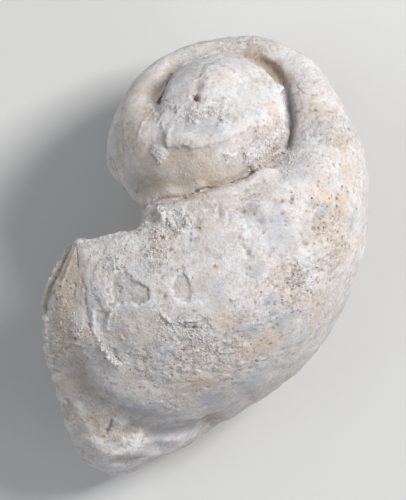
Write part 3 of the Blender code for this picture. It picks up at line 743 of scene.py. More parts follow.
# The lines of the long stains, each with its half width in millimetres and its strength
STREAKS = tuple(
    Streak(stain, places, half_width, strength)
    for stain, lines in (
        (Stain.DIRT_AND_SHADE, (
            # painted shade along the seam's crease
            (SEAM[3:], 0.3, 0.55),
            # painted shade along the valley before the mouth end
            (((-27.0, -58.6), (-20.0, -62.4), (-12.0, -65.6), (-5.0, -66.4)), 4.6, 0.22),
            # darkens the lumps of the mouth end
            (((-22.6, -67.6), (-18.6, -69.6)), 3.6, 0.14),
            # painted shade on the shaded wall of the mouth's broken rim
            (((-26.4, -29.8), (-28.8, -34.0), (-31.0, -38.4)), 1.1, 0.2),
            # painted shade in the crack beside the mouth
            (((-23.6, -38.6), (-23.3, -42.6), (-22.8, -45.6)), 0.3, 0.35),
            # painted shade in the slit beside the spire
            (((-6.4, 4.4), (-7.4, 2.0), (-8.2, 0.2)), 0.45, 0.5),
            (((-8.4, -0.3), (-8.8, -0.9)), 0.7, 0.7),
            (((-1.7, -0.1), (-1.3, -0.4)), 0.75, 0.75),
            # painted shade on the channel's wall at the top right
            (((9.4, 8.1), (12.4, 6.9), (14.8, 4.8), (16.3, 2.2)), 1.0, 0.4),
            # painted shadow in the groove beside the spire's right edge
            (((16.9, 1.0), (17.5, -2.4), (17.8, -5.6), (17.3, -9.8)), 0.8, 0.35),
            # painted shade in the crack of the mouth end
            (((-18.6, -65.2), (-19.0, -67.2)), 0.5, 0.35),
            # painted shade in the groove at the seam's right end
            (((11.4, -13.9), (12.8, -13.0), (14.4, -12.0), (16.4, -11.4)), 0.9, 0.4),
        )),
        (Stain.BROWN, (
            (((-2.6, -18.0), (0.4, -17.4), (4.4, -16.8), (8.4, -15.0), (12.0, -13.0)), 1.3, 1.0),
            (((-12.4, -22.2), (-10.4, -20.8), (-7.4, -19.8), (-3.6, -19.6)), 0.9, 0.9),
            (((-8.6, -12.6), (-4.0, -13.4), (2.0, -13.6), (6.0, -14.6)), 3.4, 0.5),
            (((-14.0, -18.0), (-8.0, -17.4), (-2.0, -16.4)), 3.0, 0.45),
            (((8.0, 8.9), (11.6, 7.8), (14.6, 5.6), (17.2, 3.0)), 2.3, 1.0),
            (((-6.2, 5.4), (-8.4, 1.4), (-9.4, -1.2)), 1.3, 0.9),
            (((-6.4, -10.6), (-3.6, -11.0), (-0.6, -10.8), (2.4, -9.9), (5.0, -9.5)), 0.9, 0.7),
            (((-25.4, -29.6), (-25.2, -33.0), (-24.8, -35.6)), 0.9, 0.8),
            (((-24.3, -36.8), (-23.6, -41.6), (-23.0, -46.6)), 0.7, 0.8),
            # brown stain and painted shade on the shaded wall of the mouth's broken rim
            (((-26.4, -29.6), (-28.8, -33.6), (-31.0, -38.0), (-32.0, -42.0)), 1.5, 1.0),
            (((9.2, -14.3), (12.0, -12.4), (14.0, -11.0)), 0.9, 0.9),
        )),
        (Stain.TAN, (
            (((-25.4, -33.0), (-26.4, -37.0), (-27.0, -41.0), (-27.4, -45.0)), 2.6, 0.5),
        )),
        (Stain.BLUE, (
            # painted shadow: the blue-grey dark line in the groove beside the spire's right edge
            (((17.0, 1.4), (17.9, -2.4), (18.2, -5.6), (17.7, -9.8)), 1.5, 1.0),
        )),
        (Stain.PALE, (
            (((7.0, -18.6), (10.0, -17.0), (13.0, -15.2), (15.6, -13.8)), 1.4, 0.8),
            (((-11.4, -23.8), (-8.0, -21.9), (-4.0, -21.3), (-0.6, -19.8)), 0.9, 0.9),
            # pale crust and painted light along the mouth end's lower rim
            (((-24.0, -71.6), (-20.0, -74.6), (-16.0, -75.6), (-11.0, -73.6), (-6.0, -70.6)), 2.4, 1.0),
            (((15.4, 0.6), (16.0, -3.0), (16.2, -7.0)), 0.8, 0.8),
            (((-21.6, -46.0), (-20.6, -48.4), (-19.2, -51.6), (-17.0, -53.8), (-15.0, -53.4)), 1.0, 1.0),
            (((-18.4, -34.4), (-18.6, -38.6), (-19.4, -41.8)), 0.5, 0.9),
            (((-21.9, -42.6), (-21.7, -46.0), (-20.6, -48.0)), 0.45, 0.9),
            (((-18.3, -42.6), (-18.9, -44.4), (-19.3, -46.8)), 0.45, 0.9),
            (((-18.6, -36.0), (-16.3, -33.7), (-14.8, -34.6)), 0.6, 0.8),
            (((-18.4, -42.2), (-14.4, -41.3), (-12.8, -42.0), (-10.4, -40.2)), 0.5, 0.7),
            (((-24.0, -42.0), (-23.8, -44.6)), 0.8, 0.8),
            (((-8.6, -1.6), (-6.4, -5.6), (-7.0, -8.6)), 1.1, 0.8),
            (((-10.4, -1.6), (-9.0, -4.4), (-8.0, -6.8)), 0.9, 0.7),
            (((-6.6, -36.4), (-6.8, -38.4), (-5.8, -40.6), (-3.6, -41.4)), 0.7, 0.7),
            (((-7.4, -43.6), (-4.6, -44.4), (-1.2, -44.0)), 0.8, 0.6),
            (((15.2, 1.6), (16.0, 0.6)), 1.0, 0.7),
        )),
    )
    for places, half_width, strength in lines
)


# The colour of the palest grains and of the pale crust
CHALK = (0.765, 0.755, 0.78)


@dataclass(frozen=True)
class Clouds:
    """Soft noise in a finish.

    Attributes:
        length: Length of its waves in millimetres.
        detail: How many finer layers it has.
        rough: How strong the finer layers are.
    """

    length: float
    detail: float
    rough: float


@dataclass(frozen=True)
class StoneFinish:
    """Dull pale limestone: grains of many tones, stains, pores and dirt, with painted shade in its hollows and
    creases and painted light on its ridges. Lengths are in millimetres.

    Attributes:
        name: Name of the material.
        tones: Colours of the stone from its darkest grains to its palest, each with its place on the scale of tones.
        drifts: The warm and the cool colour, each with the values of the drift where it starts and where it is whole.
        stains: The stains, each with its colour and how strong it is.
        dirt: Colour of the dirt, which also paints the shade in creases, cracks, the channel and the valley.
        rust: Colour of the rusty spots in the tan stains.
        mottle: The broad clouds of tone.
        fleck: The flecks, a few to a millimetre.
        grain: The finest grain.
        drift: The slow change from warm to cool.
        rusting: The rusty spots.
        cell_size: Width of the crystals.
        pore_spacing: Width of the cells that hold one pore each.
        mottle_tone: How much the clouds change the tone.
        fleck_tone: How much the flecks change it.
        grain_tone: How much the grain changes it.
        cell_tone: How much the crystals change it.
        hollow_shading_tone: How much a hollow darkens it and a ridge pales it, as painted shade and painted light.
        tone_start: The tone before all these.
        fine_start: What is added to the flecks and the grain, to keep their middle at zero.
        calm: How strong the flecks and the grain are where the stone isn't rough.
        busy: How much stronger they are where it is rough.
        drift_share: How strong the warm and the cool colours are.
        fleck_span: Where the flecks start to break up a stain, and where it is whole.
        mottle_span: Where the clouds start to break up a stain, and where it is whole.
        broken_shares: How much flecks, clouds and crystals each break up the stains.
        rust_span: Where a rusty spot starts and where it is whole.
        rust_share: How strong the rusty spots are.
        dirt_and_shade_share: How strong the dirt is, in the pores too, and the painted shade that the dirt attribute
            holds in creases, cracks, the channel and the valley.
        roughness: The shader's roughness.
        gloss: The shader's specular level.
        bump_start: How strong the bumps are where the stone isn't rough.
        bump_gain: How much stronger they are where it is rough.
        grain_depth: Height of the grain.
        fleck_depth: Height of the flecks.
        cell_depth: Height of the crystals.
        pore_depth: Depth of the pores.
    """

    name: str = "stained_limestone"
    tones: tuple[tuple[float, Colour], ...] = (
        (0.16, (0.30, 0.262, 0.235)),
        (0.38, (0.47, 0.44, 0.425)),
        (0.56, (0.60, 0.555, 0.535)),
        (0.82, CHALK),
    )
    drifts: tuple[tuple[Span, Colour], ...] = (
        ((0.45, 0.7), (0.66, 0.575, 0.50)),
        ((0.5, 0.3), (0.56, 0.565, 0.59)),
    )
    stains: tuple[tuple[Stain, Colour, float], ...] = (
        (Stain.PALE, CHALK, 0.75),
        (Stain.BROWN, (0.42, 0.33, 0.24), 0.85),
        (Stain.TAN, (0.66, 0.48, 0.31), 0.8),
        (Stain.BLUE, (0.34, 0.385, 0.46), 0.8),
    )
    dirt: Colour = (0.17, 0.108, 0.068)
    rust: Colour = (0.52, 0.31, 0.16)
    mottle: Clouds = Clouds(3.4, 5, 0.62)
    fleck: Clouds = Clouds(0.7, 4, 0.66)
    grain: Clouds = Clouds(0.3, 2, 0.6)
    drift: Clouds = Clouds(10.54, 3, 0.5)
    rusting: Clouds = Clouds(1.7, 3, 0.6)
    cell_size: float = 0.5
    pore_spacing: float = 1.0
    mottle_tone: float = 0.46
    fleck_tone: float = 0.75
    grain_tone: float = 0.65
    cell_tone: float = 0.14
    hollow_shading_tone: float = -0.13
    tone_start: float = 0.22
    fine_start: float = -0.7
    calm: float = 0.8
    busy: float = 0.55
    drift_share: float = 0.42
    fleck_span: Span = (0.38, 0.6)
    mottle_span: Span = (0.36, 0.6)
    broken_shares: tuple[float, float, float] = (0.45, 0.4, 0.3)
    rust_span: Span = (0.56, 0.66)
    rust_share: float = 0.4
    dirt_and_shade_share: float = 0.6
    roughness: float = 0.88
    gloss: float = 0.28
    bump_start: float = 0.32
    bump_gain: float = 0.7
    grain_depth: float = 0.24
    fleck_depth: float = 0.42
    cell_depth: float = 0.05
    pore_depth: float = 0.25

    def material(self) -> bpy.types.Material:
        """Builds the material.

        Returns:
            The node material, which reads Object coordinates and the stone's own attributes.
        """
        board = Board(self.name)
        place = board.node("ShaderNodeTexCoord").outputs["Object"]
        mottle = board.noise(place, self.mottle)
        fleck = board.noise(place, self.fleck)
        grain = board.noise(place, self.grain)
        cell, cell_far = board.cells(place, self.cell_size)
        pores = board.pores(place, self.pore_spacing, board.attribute(Stain.PORES.value))
        rough = board.attribute(Stain.ROUGH.value)
        fine = board.product(
            board.sum_of((fleck, self.fleck_tone), (grain, self.grain_tone), (None, self.fine_start)),
            board.sum_of((rough, self.busy), (None, self.calm)),
        )
        tone = board.sum_of(
            (mottle, self.mottle_tone),
            (fine, 1.0),
            (cell, self.cell_tone),
            # painted shade and light: the tone is darker in the surface's hollows and paler on its ridges
            (board.attribute(HOLLOW_SHADING), self.hollow_shading_tone),
            (None, self.tone_start),
        )
        colour = self.drifted(board, place, board.ramp(tone, self.tones))
        broken = board.sum_of(
            (board.between(fleck, *self.fleck_span), self.broken_shares[0]),
            (board.between(mottle, *self.mottle_span), self.broken_shares[1]),
            (cell, self.broken_shares[2]),
        )
        colour = self.stained(board, place, colour, broken)
        # Dirt in the pores, and the dirt attribute: real dirt in the pits, painted shade in creases, cracks, the
        # channel and the valley
        for soiled_and_shaded in (pores, board.attribute(Stain.DIRT_AND_SHADE.value)):
            colour = board.mix(board.product(soiled_and_shaded, self.dirt_and_shade_share), colour, self.dirt)
        board.link(colour, board.shader.inputs["Base Color"])
        board.shader.inputs["Roughness"].default_value = self.roughness
        board.shader.inputs["Specular IOR Level"].default_value = self.gloss
        uneven = board.sum_of((rough, self.bump_gain), (None, self.bump_start))
        normal = board.bump(board.product(fleck, uneven), self.fleck_depth, None)
        normal = board.bump(board.product(grain, uneven), self.grain_depth, normal)
        normal = board.bump(board.product(cell_far, uneven), -self.cell_depth, normal)
        normal = board.bump(board.product(pores, -1.0), self.pore_depth, normal)
        board.link(normal, board.shader.inputs["Normal"])
        return board.material

    def drifted(self, board: "Board", place: Socket, colour: Socket) -> Socket:
        """Lets a colour drift from warm to cool.

        Args:
            board: The material's board.
            place: The coordinates.
            colour: The colour.

        Returns:
            The drifted colour.
        """
        drift = board.noise(place, self.drift)
        for span, tint in self.drifts:
            colour = board.mix(board.product(board.between(drift, *span), self.drift_share), colour, tint)
        return colour

    def stained(self, board: "Board", place: Socket, colour: Socket, broken: Socket) -> Socket:
        """Lays the stains over a colour, and the rusty spots in the tan ones.

        Args:
            board: The material's board.
            place: The coordinates.
            colour: The colour.
            broken: How whole a stain is from place to place.

        Returns:
            The stained colour.
        """
        for stain, tint, share in self.stains:
            colour = board.mix(board.product(broken, board.attribute(stain.value), share), colour, tint)
        rusty = board.between(board.noise(place, self.rusting), *self.rust_span)
        return board.mix(board.product(rusty, board.attribute(Stain.TAN.value), self.rust_share), colour, self.rust)


@dataclass(frozen=True)
class FloorFinish:
    """Plain pale matt floor.

    Attributes:
        name: Name of the material.
        tones: Its two colours, each with its place on the scale of tones.
        cloud: The faint clouds of tone.
        roughness: The shader's roughness.
    """

    name: str = "pale_floor"
    tones: tuple[tuple[float, Colour], ...] = ((0.3, (0.61, 0.61, 0.605)), (0.7, (0.64, 0.64, 0.635)))
    cloud: Clouds = Clouds(60.0, 3, 0.5)
    roughness: float = 0.9

    def material(self) -> bpy.types.Material:
        """Builds the material.

        Returns:
            The node material, with a faint unevenness of tone.
        """
        board = Board(self.name)
        place = board.node("ShaderNodeTexCoord").outputs["Object"]
        board.link(board.ramp(board.noise(place, self.cloud), self.tones), board.shader.inputs["Base Color"])
        board.shader.inputs["Roughness"].default_value = self.roughness
        return board.material


class Board:
    """A material's board of nodes, with short ways to add the few kinds that the finishes need.

    Attributes:
        mix_inputs: The numbers of a Mix node's two colours, which share their names with other sockets.
        mix_output: The number of its mixed colour.
        pore_span: The distances from a pore's middle, as shares of its cell, where it ends and where it is all dark.
        pore_share: How many of the cells have a pore where they are densest.
    """

    mix_inputs: tuple[int, int] = (6, 7)
    mix_output: int = 2
    pore_span: Span = (0.24, 0.12)
    pore_share: float = 0.45

    def __init__(self, name: str) -> None:
        """Starts a material with its shader.

        Args:
            name: Name of the material.
        """
        self.material = bpy.data.materials.new(name)
        self.material.use_nodes = True
        self.tree = self.material.node_tree
        self.shader = self.tree.nodes["Principled BSDF"]

    def node(self, kind: str) -> bpy.types.Node:
        """Adds a node of a kind."""
        return self.tree.nodes.new(kind)

    def link(self, source: Socket, target: Socket) -> None:
        """Joins two sockets."""
        self.tree.links.new(source, target)

    def feed(self, target: Socket, value: object) -> None:
        """Gives a socket a link, a number or a colour.

        Args:
            target: The socket to feed.
            value: Another socket, a number or a colour.
        """
        if isinstance(value, Socket):
            self.link(value, target)
        elif isinstance(value, tuple):
            target.default_value = (*value, 1.0)
        else:
            target.default_value = value

    def noise(self, place: Socket, clouds: Clouds) -> Socket:
        """Adds a noise texture.

        Args:
            place: The coordinates.
            clouds: What the noise is like.

        Returns:
            Its value, from 0 to 1.
        """
        node = self.node("ShaderNodeTexNoise")
        self.link(place, node.inputs["Vector"])
        node.inputs["Scale"].default_value = 1 / (clouds.length * MM)
        node.inputs["Detail"].default_value = clouds.detail
        node.inputs["Roughness"].default_value = clouds.rough
        return node.outputs["Fac"]

    def attribute(self, name: str) -> Socket:
        """Reads one of the piece's attributes.

        Args:
            name: Its name.

        Returns:
            Its value.
        """
        node = self.node("ShaderNodeAttribute")
        node.attribute_name = name
        return node.outputs["Fac"]

    def maths(self, way: str, *values: object) -> Socket:
        """Adds a sum of one kind.

        Args:
            way: The kind of sum, as Blender names it.
            values: Sockets or numbers.

        Returns:
            The result.
        """
        node = self.node("ShaderNodeMath")
        node.operation = way
        for count, value in enumerate(values):
            self.feed(node.inputs[count], value)
        return node.outputs["Value"]

    def product(self, *values: object) -> Socket:
        """Multiplies sockets and numbers.

        Args:
            values: Sockets or numbers.

        Returns:
            The product.
        """
        result = values[0]
        for value in values[1:]:
            result = self.maths("MULTIPLY", result, value)
        return result

    def sum_of(self, *parts: tuple[object, float]) -> Socket:
        """Adds weighted sockets.

        Args:
            parts: Each a socket and its weight, or None and a number to add.

        Returns:
            The sum.
        """
        result: object = 0.0
        for socket, weight in parts:
            part = weight if socket is None else self.maths("MULTIPLY", socket, weight)
            result = self.maths("ADD", result, part)
        return result

    def between(self, value: Socket, low: float, high: float) -> Socket:
        """Stretches a value so that low is 0 and high is 1, with soft ends.

        Args:
            value: The value.
            low: What becomes 0.
            high: What becomes 1.

        Returns:
            The stretched value.
        """
        node = self.node("ShaderNodeMapRange")
        node.interpolation_type = "SMOOTHSTEP"
        self.link(value, node.inputs["Value"])
        node.inputs["From Min"].default_value = low
        node.inputs["From Max"].default_value = high
        return node.outputs["Result"]

    def ramp(self, value: Socket, stops: tuple[tuple[float, Colour], ...]) -> Socket:
        """Turns a value into a colour.

        Args:
            value: The value.
            stops: Each a place on the ramp and its colour.

        Returns:
            The colour.
        """
        node = self.node("ShaderNodeValToRGB")
        self.link(value, node.inputs["Fac"])
        points = node.color_ramp.elements
        while len(points) < len(stops):
            points.new(0.5)
        for point, (where, colour) in zip(points, stops):
            point.position = where
            point.color = (*colour, 1.0)
        return node.outputs["Color"]

    def mix(self, share: object, first: object, second: object) -> Socket:
        """Mixes two colours.

        Args:
            share: How much of the second, from 0 to 1.
            first: A socket or a colour.
            second: A socket or a colour.

        Returns:
            The mixed colour.
        """
        node = self.node("ShaderNodeMix")
        node.data_type = "RGBA"
        self.feed(node.inputs["Factor"], share)
        for number, colour in zip(self.mix_inputs, (first, second)):
            self.feed(node.inputs[number], colour)
        return node.outputs[self.mix_output]

    def cells(self, place: Socket, size: float) -> tuple[Socket, Socket]:
        """Adds grains side by side, each with a tone of its own.

        Args:
            place: The coordinates.
            size: Width of a grain in millimetres.

        Returns:
            The grain's tone from 0 to 1, and the distance from its middle.
        """
        node = self.node("ShaderNodeTexVoronoi")
        self.link(place, node.inputs["Vector"])
        node.inputs["Scale"].default_value = 1 / (size * MM)
        apart = self.node("ShaderNodeSeparateColor")
        self.link(node.outputs["Color"], apart.inputs["Color"])
        return apart.outputs["Red"], node.outputs["Distance"]

    def pores(self, place: Socket, spacing: float, share: Socket) -> Socket:
        """Adds small dark pores, each a dot in a cell of its own, and only in some of the cells.

        Args:
            place: The coordinates.
            spacing: Width of a cell in millimetres.
            share: How many of the cells have one, from 0 to 1.

        Returns:
            1 in a pore and 0 outside.
        """
        tone, far = self.cells(place, spacing)
        some = self.maths("LESS_THAN", tone, self.product(share, self.pore_share))
        return self.product(self.between(far, *self.pore_span), some)

    def bump(self, height: Socket, depth: float, normal: object) -> Socket:
        """Adds a bump.

        Args:
            height: The height, from 0 to 1.
            depth: What a height of 1 is in millimetres.
            normal: The surface's direction from another bump, or None.

        Returns:
            The surface's new direction.
        """
        node = self.node("ShaderNodeBump")
        node.inputs["Strength"].default_value = 1.0
        node.inputs["Distance"].default_value = depth * MM
        self.link(height, node.inputs["Height"])
        if normal is not None:
            self.link(normal, node.inputs["Normal"])
        return node.outputs["Normal"]


@dataclass(frozen=True)
class Wander:
    """Noise that makes edges wander. Lengths are in millimetres.

    Attributes:
        long: Length of its long waves.
        short: Length of its short waves.
        short_share: How strong the short waves are, against the long ones.
    """

    long: float
    short: float
    short_share: float = 0.6

    def at(self, points: np.ndarray) -> np.ndarray:
        """Its value at each point."""
        return waves(points, self.long) + self.short_share * waves(points, self.short)


@dataclass(frozen=True)
class Layer:
    """Waves, crumbs or lumps on the stone's surface. Lengths are in millimetres.

    Attributes:
        length: Their length.
        height: Their height.
    """

    length: float
    height: float

    def rise(self, points: np.ndarray) -> np.ndarray:
        """How high the waves are at each point, in millimetres."""
        return self.height * waves(points, self.length)


@dataclass(frozen=True)
class Lip:
    """The last turn's upper edge, which is drawn up to the seam. Lengths are in millimetres.

    Attributes:
        rise: How far it is drawn up.
        drop: How far below the seam the move is whole.
        reach: How far above and below that it fades out.
        stretch: The shares of the seam's length where it starts and ends.
        level: How high the stone has to be to be moved, at the seam's left end.
        fall: How much lower that is at the seam's right end.
        setting_in: Over how much height the move sets in.
        taper: How quickly it sets in along the seam from both ends.
    """

    rise: float = 1.6
    drop: float = 2.0
    reach: float = 3.4
    stretch: Span = (0.02, 0.99)
    level: float = 46.6
    fall: float = 1.2
    setting_in: float = 2.0
    taper: float = 8.0

    def draw_up(self, points: np.ndarray, spots: np.ndarray) -> None:
        """Draws the edge up to the seam.

        Args:
            points: Places in metres, one row each, which are changed.
            spots: Where they show, in millimetres.
        """
        seam = np.array(curve(SEAM))
        near, where = distance_to_line(spots, seam)
        below = (read_off(where, seam) - spots)[:, 1] > 0
        share = eased(np.abs(near - self.drop) / self.reach) * below
        share = share * (where > self.stretch[0]) * (where < self.stretch[1])
        high = np.clip((points[:, 2] / MM - self.level + self.fall * where) / self.setting_in, 0, 1)
        fade = np.clip(np.minimum(where, 1 - where) * self.taper, 0, 1)
        points[:, 1] += self.rise * MM * share * high * fade


@dataclass(frozen=True)
class Overhang:
    """A part of the spire's edge that is drawn out over the channel. Lengths are in millimetres.

    Attributes:
        line: Places on it, or its one place twice.
        move: How far it is drawn to the right.
        reach: How far from the line the move fades out.
        level: How high the stone has to be to be moved.
    """

    line: tuple[Place, ...]
    move: float
    reach: float
    level: float = 36.0

    def draw_out(self, points: np.ndarray, spots: np.ndarray) -> None:
        """Draws the edge out over the channel.

        Args:
            points: Places in metres, one row each, which are changed.
            spots: Where they show, in millimetres.
        """
        near = distance_to_line(spots, np.array(self.line))[0]
        high = points[:, 2] > self.level * MM
        points[:, 0] += self.move * eased(near / self.reach) * high * MM


@dataclass(frozen=True)
class Relief:
    """How uneven the stone's surface is. Lengths are in millimetres.

    Attributes:
        wander: Noise that makes the edges of crust and ridges wander.
        swell: The longest waves.
        roll: The next shorter waves.
        ripple: The waves of the rough places.
        grain: The shortest waves.
        crumb: The crumbs.
        lump: The lumps of the roughest places.
        wave_shares: How strong the two longest waves are, how much stronger in rough places, and how much stronger
            on the hidden sides.
        grain_shares: How strong the shortest waves are, and how much stronger in rough places.
        crust_gain: How soon the crust is whole as the surface turns upwards.
        steep_gain: How soon an upright move is whole as the surface turns upwards.
        steep_least: The share of an upright move that a steep surface keeps.
        hidden_start: How far up the surface still looks where it starts to be hidden.
        hidden_gain: How soon it is all hidden as it turns downwards.
        ridge_ragged: How much the height of a ridge wanders with its edges.
        crumb_gain: How far the crumbs of a crumbly ridge stand up.
        least_rough: How rough the stone is everywhere.
        low_rough: How much rougher it is low down.
        low_top: Below which height it grows rougher.
        low_fade: Over how much height it does.
        patch_ragged: How much the edge of a rough patch wanders.
        patch_core: How soon a rough patch is whole from its edge inwards.
    """

    wander: Wander = Wander(1.6, 0.7)
    swell: Layer = Layer(5.2, 0.26)
    roll: Layer = Layer(2.3, 0.18)
    ripple: Layer = Layer(1.1, 0.17)
    grain: Layer = Layer(0.7, 0.12)
    crumb: Layer = Layer(0.75, 0.22)
    lump: Layer = Layer(2.1, 0.45)
    wave_shares: tuple[float, float, float] = (0.4, 0.6, 1.2)
    grain_shares: Span = (0.25, 0.75)
    crust_gain: float = 4.0
    steep_gain: float = 2.4
    steep_least: float = 0.25
    hidden_start: float = 0.2
    hidden_gain: float = 3.0
    ridge_ragged: float = 0.9
    crumb_gain: float = 2.2
    least_rough: float = 0.08
    low_rough: float = 0.5
    low_top: float = 20.0
    low_fade: float = 10.0
    patch_ragged: float = 0.9
    patch_core: float = 1.6


@dataclass(frozen=True)
class GrowthLines:
    """The faint lines on the spire, along its worn edge. Lengths are in millimetres.

    Attributes:
        height: Their height.
        pace: How closely they follow each other, in radians of a wave to a millimetre.
        middle: How far inside the edge they are strongest.
        reach: How far from there they fade out.
        right_end: How far to the right of the tip they reach.
    """

    height: float = 0.035
    pace: float = 10.0
    middle: float = 1.6
    reach: float = 2.2
    right_end: float = 3.0

    def rise(self, spots: np.ndarray, up: np.ndarray) -> np.ndarray:
        """How high the lines are at each point.

        Args:
            spots: Where the points show, in millimetres.
            up: How far up the surface looks there, from 0 to 1.

        Returns:
            One height for each point, in millimetres.
        """
        edge = distance_to_line(spots, np.array(curve(SPIRE_EDGE)))[0]
        on_spire = SHEETS[0].share(spots, np.zeros(len(spots)))
        share = eased(np.abs(edge - self.middle) / self.reach) * (spots[:, 0] < self.right_end) * on_spire * up
        return self.height * np.sin(edge * self.pace) * share


@dataclass(frozen=True)
class Pressing:
    """How the pits and the sharp grooves are pressed in. Lengths are in millimetres.

    Attributes:
        pit_margin: How far round a pit the faces are divided.
        groove_margin: How far beside a groove the faces are divided.
        wander_length: Length of the waves in their edges.
        pit_ragged: How much a pit's edge wanders.
    """

    pit_margin: float = 0.35
    groove_margin: float = 0.2
    wander_length: float = 0.9
    pit_ragged: float = 0.7


@dataclass(frozen=True)
class HiddenPits:
    """Pits on the sides that the photo doesn't show. Lengths are in millimetres.

    Attributes:
        count: How many there are.
        radii: The smallest and the largest radius.
        depth: Their depth, as a share of the radius.
        most_up: How far up the surface may look there.
        lowest: How high above the floor they start.
        seed: What starts their random numbers.
    """

    count: int = 150
    radii: Span = (0.3, 0.8)
    depth: float = 0.9
    most_up: float = 0.1
    lowest: float = 2.0
    seed: int = 3


@dataclass(frozen=True)
class Staining:
    """How stains spread on the stone. Lengths are in millimetres.

    Attributes:
        wander: Noise that makes their edges wander.
        spread: How far a stain reaches, against its radius or half width.
        ragged: How much its edge wanders.
        core: How soon a round stain is whole from its edge inwards.
        lining_spread: How far the dirt in a pit reaches, against the pit's radius.
        lining_ragged: How much the dirt's edge wanders.
        halo_width: How far the tan halo reaches beyond a pit.
        halo_strength: How strong the halo is.
        hidden: The stains of the hidden sides, and how strong they are.
        hidden_start: How far up the surface still looks where they start.
        hidden_gain: How soon they are whole as it turns downwards.
        cloud_length: Length of their clouds.
        cloud_apart: How far apart two stains read the noise, so that their clouds differ.
        cloud_ragged: How much the clouds' edges wander.
        cloud_gain: How sharp the clouds' edges are.
        hollow_scales: After how many rounds of smoothing a hollow is measured, and how deep a full one is there.
        hollow_most: The most that a hollow counts.
    """

    wander: Wander = Wander(2.0, 0.8)
    spread: float = 1.35
    ragged: float = 0.9
    core: float = 1.5
    lining_spread: float = 1.25
    lining_ragged: float = 0.5
    halo_width: float = 0.8
    halo_strength: float = 0.6
    hidden: tuple[tuple[Stain, float], ...] = (
        (Stain.TAN, 0.6), (Stain.BLUE, 0.6), (Stain.BROWN, 0.5), (Stain.PALE, 0.7), (Stain.PORES, 0.8),
    )
    hidden_start: float = 0.3
    hidden_gain: float = 3.0
    cloud_length: float = 9.0
    cloud_apart: float = 50.0
    cloud_ragged: float = 0.5
    cloud_gain: float = 4.0
    hollow_scales: tuple[tuple[int, float], ...] = ((5, 0.06), (40, 0.5))
    hollow_most: float = 1.5


